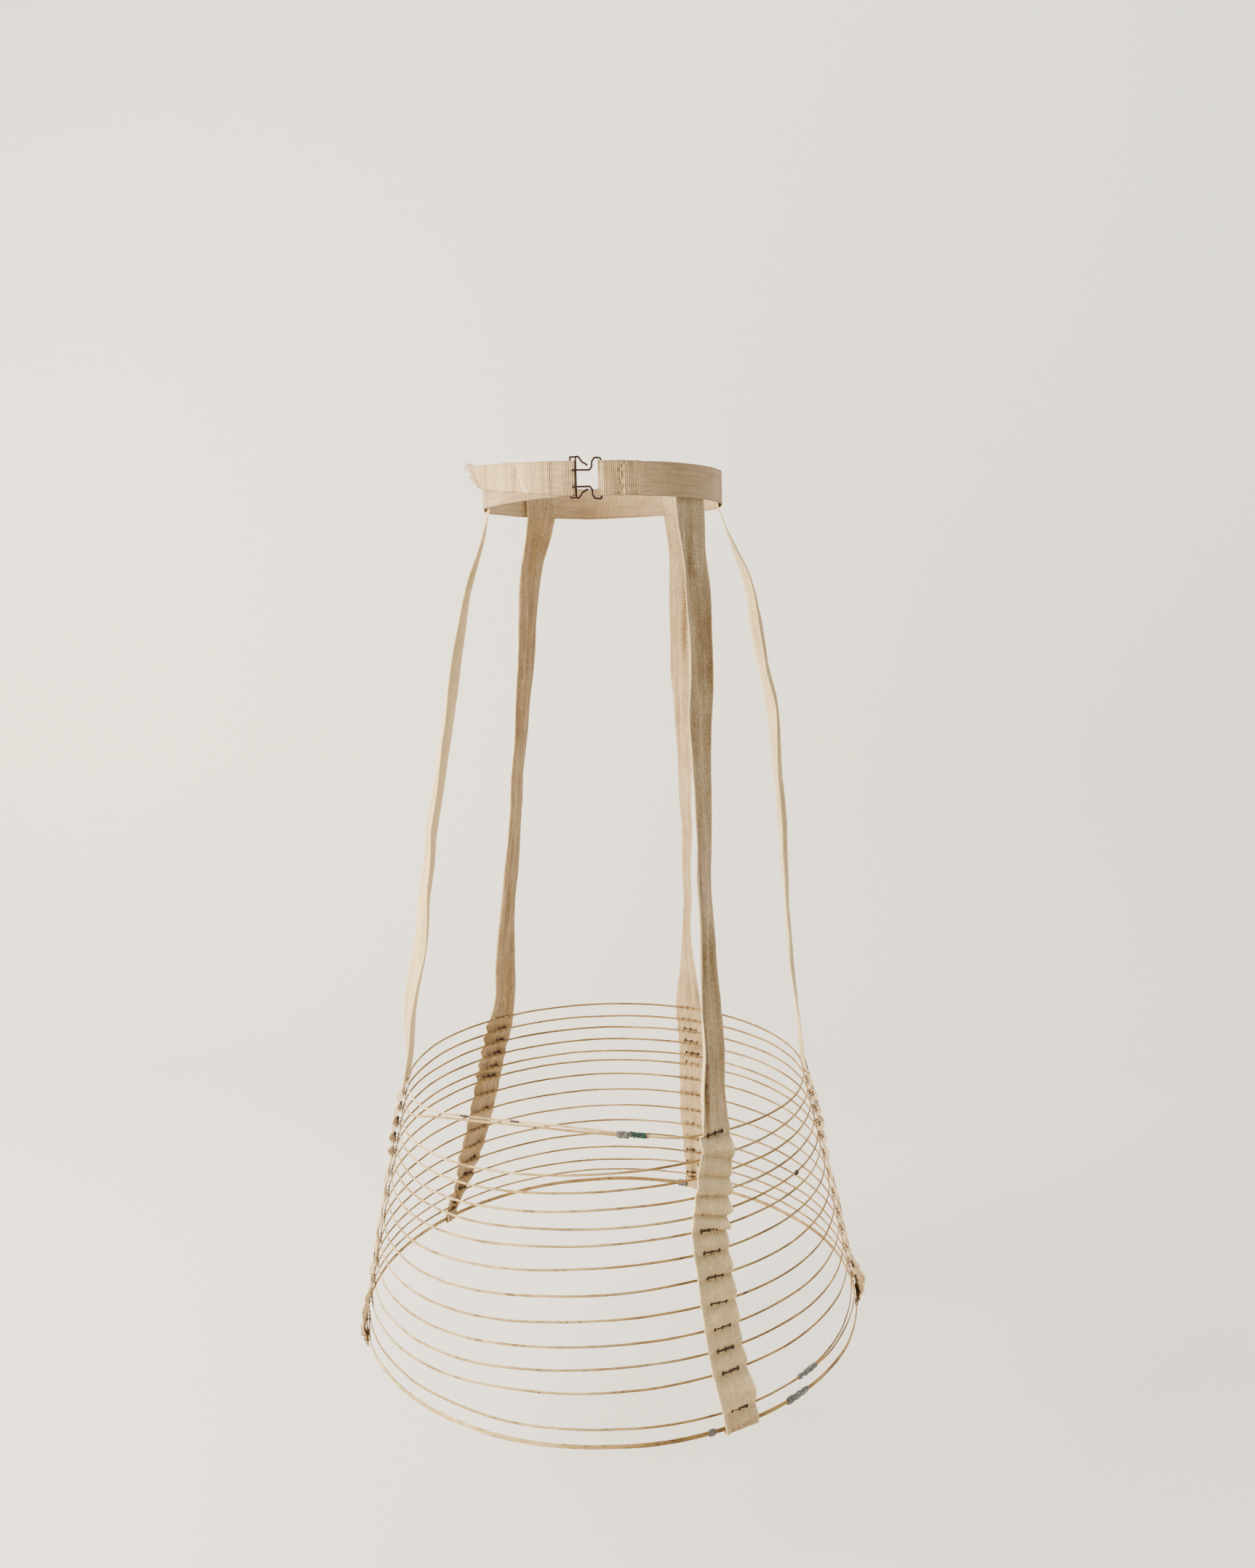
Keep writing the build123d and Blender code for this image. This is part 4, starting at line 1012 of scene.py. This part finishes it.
def tape_soil_and_shading(name, drop, rows, u, n):
    """How soiled and shaded a tape is: browner or washed out with age above the rows and down
    them, with painted shade on the tapes turned from the window and painted light on those
    turned towards it; darker along its rows, as rust and as painted shade of the creases there;
    painted shade in its grooves; darker at its foot; painted highlight on its rims; and on the
    front tape a painted shadow in the groove behind its left edge and a painted highlight on
    that edge."""
    hang = HANG[name]
    count = len(drop)
    # Darker along each row, most towards the bars: rust from the staples and painted shade of the creases
    # at the rows.
    near_row = bell(rows.to_row, 1.3 * MM) * rows.inside
    bars = bell(np.abs(u) - 0.2, 0.35)
    # Lighter at both rims: painted highlight where the edges turn to the light.
    rim_highlight = smooth((np.abs(u) - 0.90) / 0.10)
    skirt = smooth((drop - 500 * MM) / (60 * MM))
    foot = smooth((drop - 752 * MM) / (16 * MM))
    # Each tape's tone above the hoops and down them: age, with painted shade on the tapes turned from the
    # window and painted light on those turned towards it.
    upper_age_and_light, lower_age_and_light = hang["age_and_light"]
    soil_and_shading = near_row[:, None] * (0.15 + 0.15 * bars)[None, :] - rim_highlight[None, :] * 0.9
    soil_and_shading = soil_and_shading + (upper_age_and_light + skirt * (lower_age_and_light - upper_age_and_light))[:, None]
    # On the front tape, painted shade in the groove behind the left edge and a painted highlight on that
    # edge.
    fold_shade_and_highlight = hang["fold_shade_and_highlight"] * smooth((drop - 230 * MM) / (120 * MM)) * (1 - skirt)
    soil_and_shading = soil_and_shading + fold_shade_and_highlight[:, None] * bell(u + 0.38, 0.14)[None, :]
    soil_and_shading = soil_and_shading - 1.2 * fold_shade_and_highlight[:, None] * smooth((-u - 0.62) / 0.12)[None, :]
    soil_and_shading = soil_and_shading + foot[:, None] * hang["foot"]
    # Painted shade in the hollows of the tape's folds.
    groove = np.clip(-np.gradient(np.gradient(n, axis=1), axis=1) / (0.05 * MM), 0, 1)
    return soil_and_shading + 0.18 * groove + 0.08 * wander(count, 25, hang["seed"] + 70)[:, None] ** 2


def tape(name):
    """A cotton tape: its curled and puffed section carried down its middle line, gathered in
    near its foot, where two of the tapes have an edge that stands out like a leaf. Inside
    the bottom hoop it lies nearly flat."""
    line, hem_start = tape_line(name)
    hang = HANG[name]
    at = length_along(line)
    falling = np.arange(len(line)) < hem_start
    drop = np.where(falling, -line[:, 2], -line[hem_start - 1, 2])
    across, out = tape_sides(name, line, drop)
    rows = between_rows(name, drop, falling)
    u = np.linspace(-1, 1, TAPE_COLUMNS)
    narrow = np.array(hang["narrow"], float)
    gathered = np.interp(drop, narrow[:, 0] * MM, narrow[:, 1])
    a, n = curled(name, drop, u, TAPE_WIDTH / 2 * (1 - gathered))
    a, n = puffed(name, rows, u, a, n)
    leaf_shading = np.zeros(len(line))
    if hang["leaf"]:
        side, first, last, reach, leaf_painted_shade = hang["leaf"]
        spread = np.clip((drop - first * MM) / ((last - first) * MM), 0, 1)
        leaf = np.sin(math.pi * spread**1.4) * falling
        n = n + (leaf * reach * MM)[:, None] * (np.clip(u * side + 0.1, 0, 2) ** 1.3)
        # The leaf's colour: painted shade on it, or lighter where its value is below 0.
        leaf_shading = leaf * leaf_painted_shade
    tucked = gathered[:, None] * 9 * MM * (np.cos(4.2 * u)[None, :] + 0.3)
    n = np.where(falling[:, None], n + np.maximum(tucked, 0), n * 0.25)
    points = on_axis(beside(line, across, out, a, n).reshape(-1, 3))
    uv = np.stack(np.broadcast_arrays(u[None, :] * TAPE_WIDTH / 2, at[:, None]), -1)
    soil_and_shading = np.clip(tape_soil_and_shading(name, drop, rows, u, n) + leaf_shading[:, None], -1, 1)
    piece = add_piece(f"cotton_tape_{name}", points, grid_faces(len(line), TAPE_COLUMNS),
                      TAPE_COTTON, uv, {"soil_and_shading": soil_and_shading})
    thicken(piece, TAPE_THICK * CLOTH_SHARE)
    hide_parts(f"tape_{name}")
    with_pieces = [frayed_wad_with_painted_shade()] if name == "left" else []


def frayed_wad_with_painted_shade():
    """The left tape's frayed foot: a ball of short curled threads, each a random smooth line
    through the ball, the longest standing out of it, coloured nearly black as painted shade of
    the tape's folded end."""
    low = ROW_DROPS[BOTTOM]
    angle = tape_angle("left", low)
    out, side = heading(angle), heading(angle + 90)
    centre = out * (inner_face(low) + 0.5 * MM) + side * 7 * MM - [0, 0, low + 2 * MM]
    draw = np.random.default_rng(97)
    t = np.linspace(0, 1, 9)[:, None]
    made = []
    for k in range(46):
        knots = draw.normal(0, 1, (3, 3)) * np.array([1.3, 1.3, 3.4]) * MM
        reach = 1.6 if k % 9 == 0 else 1.0
        path = knots[0] * (1 - t) ** 2 + knots[1] * 2 * t * (1 - t) + knots[2] * t**2 * reach
        made.append(tube(centre + path, draw.uniform(0.35, 0.6) * MM, 5, (0.4, 0.3, 1.0)))
    points, faces = joined(made)
    return add_piece("frayed_wad_with_painted_shade", on_axis(points), faces, TAPE_COTTON,
                     # The near-black tone is painted shade of the tape's folded end.
                     np.zeros((len(points), 2)), {"soil_and_shading": np.full(len(points), 0.95)})


# ---- staples ---------------------------------------------------------------------------

STAPLE_LIFT = 0.9
# How far the front tape's bars stand off its cloth, by row, where they don't do as the rest.
# Both are in mm, and the bars below 0 lie buried in the creases.
FRONT_STAPLE_LIFT = {1: -0.9, 2: -0.9, 3: -0.9, 4: -0.9, 5: 1.9}


def staples(name):
    """The staples of one tape: a bar outside the cloth, thicker at its two ends and its
    middle, and three claws that go through and close round the wire. Those of the front
    tape's first creases lie buried in its folds."""
    made = []
    draw = np.random.default_rng(HANG[name]["seed"] + 90)
    t, tick = np.linspace(-1, 1, 25), np.linspace(-1, 1, 7)
    upright = np.array([0, 0, 1])
    for row, drop in enumerate(row_drops(name)):
        angle = tape_angle(name, drop)
        out, side = heading(angle), heading(angle + 90)
        reach = cone_radius(drop)
        lift = STAPLE_LIFT
        if name == "front_right":
            lift = FRONT_STAPLE_LIFT.get(row, STAPLE_LIFT)
            if row == 0:
                reach = front_row_face() - WIRE_THICK / 2 - SEAT
        out_to = out * (WIRE_THICK / 2 + SEAT + TAPE_THICK + lift * MM)
        middle = out * reach + [0, 0, 1.4 * MM - drop]
        tilt = draw.normal(0, 0.03)
        bar = middle + out_to + (side + upright * tilt) * (t * STAPLE_LENGTH / 2)[:, None]
        made.append(tube(bar, 0.76 * MM))
        claw = np.array([out_to, out * -0.6 * MM, out * -1.0 * MM - [0, 0, 0.8 * MM],
                         out * -0.9 * MM - [0, 0, 2.6 * MM]])
        for offset in (-CLAW_SPACING, 0.0, CLAW_SPACING):
            root = middle + side * offset
            rise = upright * (2.3 * MM * tick + tilt * offset)[:, None]
            made.append(tube(root + out_to + rise, 0.95 * MM * np.sqrt(1.05 - tick**2), 6, side))
            made.append(tube(even(root + claw, 0.7 * MM), 0.3 * MM, 5, side))
    points, faces = joined(made)
    piece = add_piece(f"steel_staples_{name}", on_axis(points), faces, STAPLE_STEEL)
    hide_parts(f"staples_{name}")


# ---- sleeves, clips and the binding ----------------------------------------------------

# How far apart the points lie on the short stretch of a row that a crimp is carried along.
CRIMP_STEP = 0.4 * MM


def crimp(name, node, path, tall, thick, seed, roll=0.0, dents=0.25,
          material=CRIMP_METAL, slot="crimp_metal"):
    """A sleeve squeezed on a wire: a rounded flat section along a short path, its sides
    dented, its ends drawn in, and its two halves turned by roll degrees in opposite ways."""
    path = even(on_axis(path), 0.5 * MM)
    count, columns = len(path), 20
    a, u = flat_section(tall, thick, columns, 0.5)
    t = np.linspace(-1, 1, count)
    swing = np.radians(roll) * np.tanh(3 * t)[:, None]
    size = 1 - 0.22 * smooth((np.abs(t) - 0.86) / 0.14)
    wide = u * (size * (1 + dents * 0.4 * wander(count, 9, seed)))[:, None]
    deep = a * (size * (1 + dents * wander(count, 7, seed + 1)))[:, None]
    side = 1 + 0.12 * wander(columns, 3, seed + 2)[None, :] * dents * 2
    x = (deep * np.cos(swing) - wide * np.sin(swing)) * side
    y = (deep * np.sin(swing) + wide * np.cos(swing)) * side
    points = beside(path, *sides(path), x, y)
    piece = add_piece(name, points, tube_faces(count, columns), material)
    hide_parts(node)


def small_metal():
    """Two clips and three sleeves low down, a dark clip on row 5, and the front ferrule."""
    rusty = dict(material=STAPLE_STEEL, slot="staple_steel")
    hoop_14 = on_row(HOOP_14, TAIL_END, -40.0, CRIMP_STEP, -0.6 * MM)
    crimp("hoop_14_crimp", "hoop_14_clip", hoop_14, 4.3 * MM, 3.2 * MM, 81, roll=24, dents=0.3)
    low_clip = on_row(BOTTOM, -50.8, -44.2, CRIMP_STEP)
    crimp("bottom_hoop_crimp", "bottom_hoop_clip", low_clip, 5.9 * MM, 3.0 * MM, 82, roll=-10)
    row_5 = on_row(ROW_5, -33.7, -32.3, CRIMP_STEP)
    crimp("row_5_dark_clip", "row_5_clip", row_5, 3.8 * MM, 2.7 * MM, 83, **rusty)
    front = on_row(BOTTOM, -69.9, -68.5, CRIMP_STEP)
    crimp("bottom_sleeve_front", "front_sleeve", front, 5.6 * MM, 2.8 * MM, 84)
    back = on_row(BOTTOM, 69.4, 71.9, CRIMP_STEP, -0.5 * MM)
    crimp("bottom_sleeve_back", "back_sleeve", back, 7.4 * MM, 4.6 * MM, 85)
    right = on_row(BOTTOM, -8.7, -7.3, CRIMP_STEP)
    crimp("bottom_sleeve_right", "right_sleeve", right, 5.6 * MM, 2.8 * MM, 86, **rusty)
    z = -ROW_DROPS[0] - (WIRE_TALL + WIRE_GAP) / 2
    first = FLAT_START + ALONG * FERRULE_START
    ferrule = np.array([[*first, z], [*(first + ALONG * FERRULE_LENGTH), z]])
    crimp("top_hoop_ferrule", "front_ferrule", ferrule, 5.9 * MM, 2.8 * MM, 87, dents=0.12)


def green_binding():
    """Fine copper wire wound round the top hoop: a helix whose radius and pitch wander, with
    a loose loop at one end and a whisker at the other."""
    end_space = 0.8 * MM
    turns, per_turn = 13, 22
    count = turns * per_turn
    t = np.linspace(0, 1, count)
    along = FERRULE_START + FERRULE_LENGTH + end_space
    along = along + (BINDING_LENGTH - 2 * end_space) * (t + 0.012 * wander(count, 30, 91))
    angle = 2 * math.pi * turns * t
    reach = (1.9 + 0.45 * wander(count, 16, 92)) * MM
    axis, side, upright = np.array([*ALONG, 0.0]), np.array([*INWARD, 0.0]), np.array([0, 0, 1])
    centre = np.array([*FLAT_START, -ROW_DROPS[0]])
    radial = np.cos(angle)[:, None] * side + np.sin(angle)[:, None] * upright * 1.12
    path = centre + along[:, None] * axis + radial * reach[:, None]
    s = np.linspace(0, 1, 14)[:, None]
    whisker = path[0] - axis * (2.0 * MM * s) - side * (1.6 * MM * s) - upright * (4.6 * MM * s**1.5)
    bend = np.linspace(-0.5, 1.7 * math.pi, 22)[:, None]
    loop = path[-1] + axis * (1.4 * MM + 1.6 * MM * np.cos(bend + math.pi))
    loop = loop + upright * (1.9 * MM * np.sin(bend)) - side * (0.3 * MM * bend)
    made = [tube(path, 0.48 * MM, 7, axis), tube(whisker, 0.32 * MM, 6, side),
            tube(loop, 0.36 * MM, 6, side)]
    points, faces = joined(made)
    piece = add_piece("green_wire_binding", on_axis(points), faces, VERDIGRIS)
    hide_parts("front_binding")


def metal_fittings():
    """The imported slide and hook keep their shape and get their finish."""
    for node in ("waist_slide", "waist_hook"):
        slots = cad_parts[node].data.materials
        slots.clear()
        slots.append(CLASP_STEEL)


# ---- stage -----------------------------------------------------------------------------

def floor():
    """A pale floor that curves up into a wall behind: a level run, a quarter circle, a wall."""
    near, wall, bend, top, half_width = -2.2, 1.5, 0.5, 2.4, 3.2
    material, _, shader = new_material("matt_pale_paint")
    shader.inputs["Base Color"].default_value = linear("#f2eadb")
    shader.inputs["Roughness"].default_value = 0.8
    angle = np.linspace(0, math.pi / 2, 24)
    y = np.concatenate([[near], wall - bend + bend * np.sin(angle), [wall]])
    z = np.concatenate([[0], bend - bend * np.cos(angle), [top]]) + FLOOR_Z
    x = np.array([-half_width, half_width])
    points = np.stack(np.broadcast_arrays(x[None, :], y[:, None], z[:, None]), -1)
    mesh = bpy.data.meshes.new("pale_floor")
    mesh.from_pydata(points.reshape(-1, 3).tolist(), [], grid_faces(len(y), 2))
    mesh.polygons.foreach_set("use_smooth", np.ones(len(mesh.polygons), dtype=bool))
    mesh.materials.append(material)
    piece = bpy.data.objects.new("pale_floor", mesh)
    bpy.context.scene.collection.objects.link(piece)


def lamp(name, place, aim, size, power, colour):
    """A square soft lamp at a place, turned to shine on an aim."""
    light = bpy.data.lights.new(name, "AREA")
    light.shape, light.size, light.energy, light.color = "SQUARE", size, power, colour
    held = bpy.data.objects.new(name, light)
    bpy.context.scene.collection.objects.link(held)
    held.location = place
    x, y, z = np.array(aim) - np.array(place)
    held.rotation_euler = (math.atan2(math.hypot(x, y), -z), 0, math.atan2(y, x) - math.pi / 2)


def lights():
    """A warm broad window from the left front, a weak cool one from the right, a lamp that
    washes the wall behind, and pale air."""
    hips = (0, 0, -0.35)
    warm, cool, neutral = (1.0, 0.95, 0.87), (0.82, 0.91, 1.0), (0.95, 0.97, 1.0)
    lamp("left_window", (-2.0, -0.75, 0.45), hips, size=1.1, power=190, colour=warm)
    lamp("right_window", (2.1, 0.3, 0.5), hips, size=1.2, power=30, colour=cool)
    lamp("wall_wash", (0.6, 0.2, 1.9), (0.2, 1.3, -0.4), size=1.6, power=40, colour=neutral)
    world = bpy.data.worlds.new("pale_air")
    bpy.context.scene.world = world
    world.use_nodes = True
    air = world.node_tree.nodes["Background"]
    air.inputs["Color"].default_value = linear("#eef0f2")
    air.inputs["Strength"].default_value = 0.5


def camera():
    """A 30 mm lens, 1.2 m in front of the waist and 72 mm below it, looking 9 degrees down."""
    lens = bpy.data.cameras.new("camera")
    lens.lens, lens.sensor_width, lens.sensor_fit = 30.06, 36.0, "AUTO"
    lens.clip_start = 0.05
    eye = bpy.data.objects.new("camera", lens)
    bpy.context.scene.collection.objects.link(eye)
    eye.location = (0.0225, -1.2, -0.0719)
    eye.rotation_euler = (math.radians(80.85), 0, 0)
    bpy.context.scene.camera = eye


wires()
waistband()
for tape_name in TAPES:
    tape(tape_name)
    staples(tape_name)
small_metal()
green_binding()
metal_fittings()
floor()
lights()
camera()
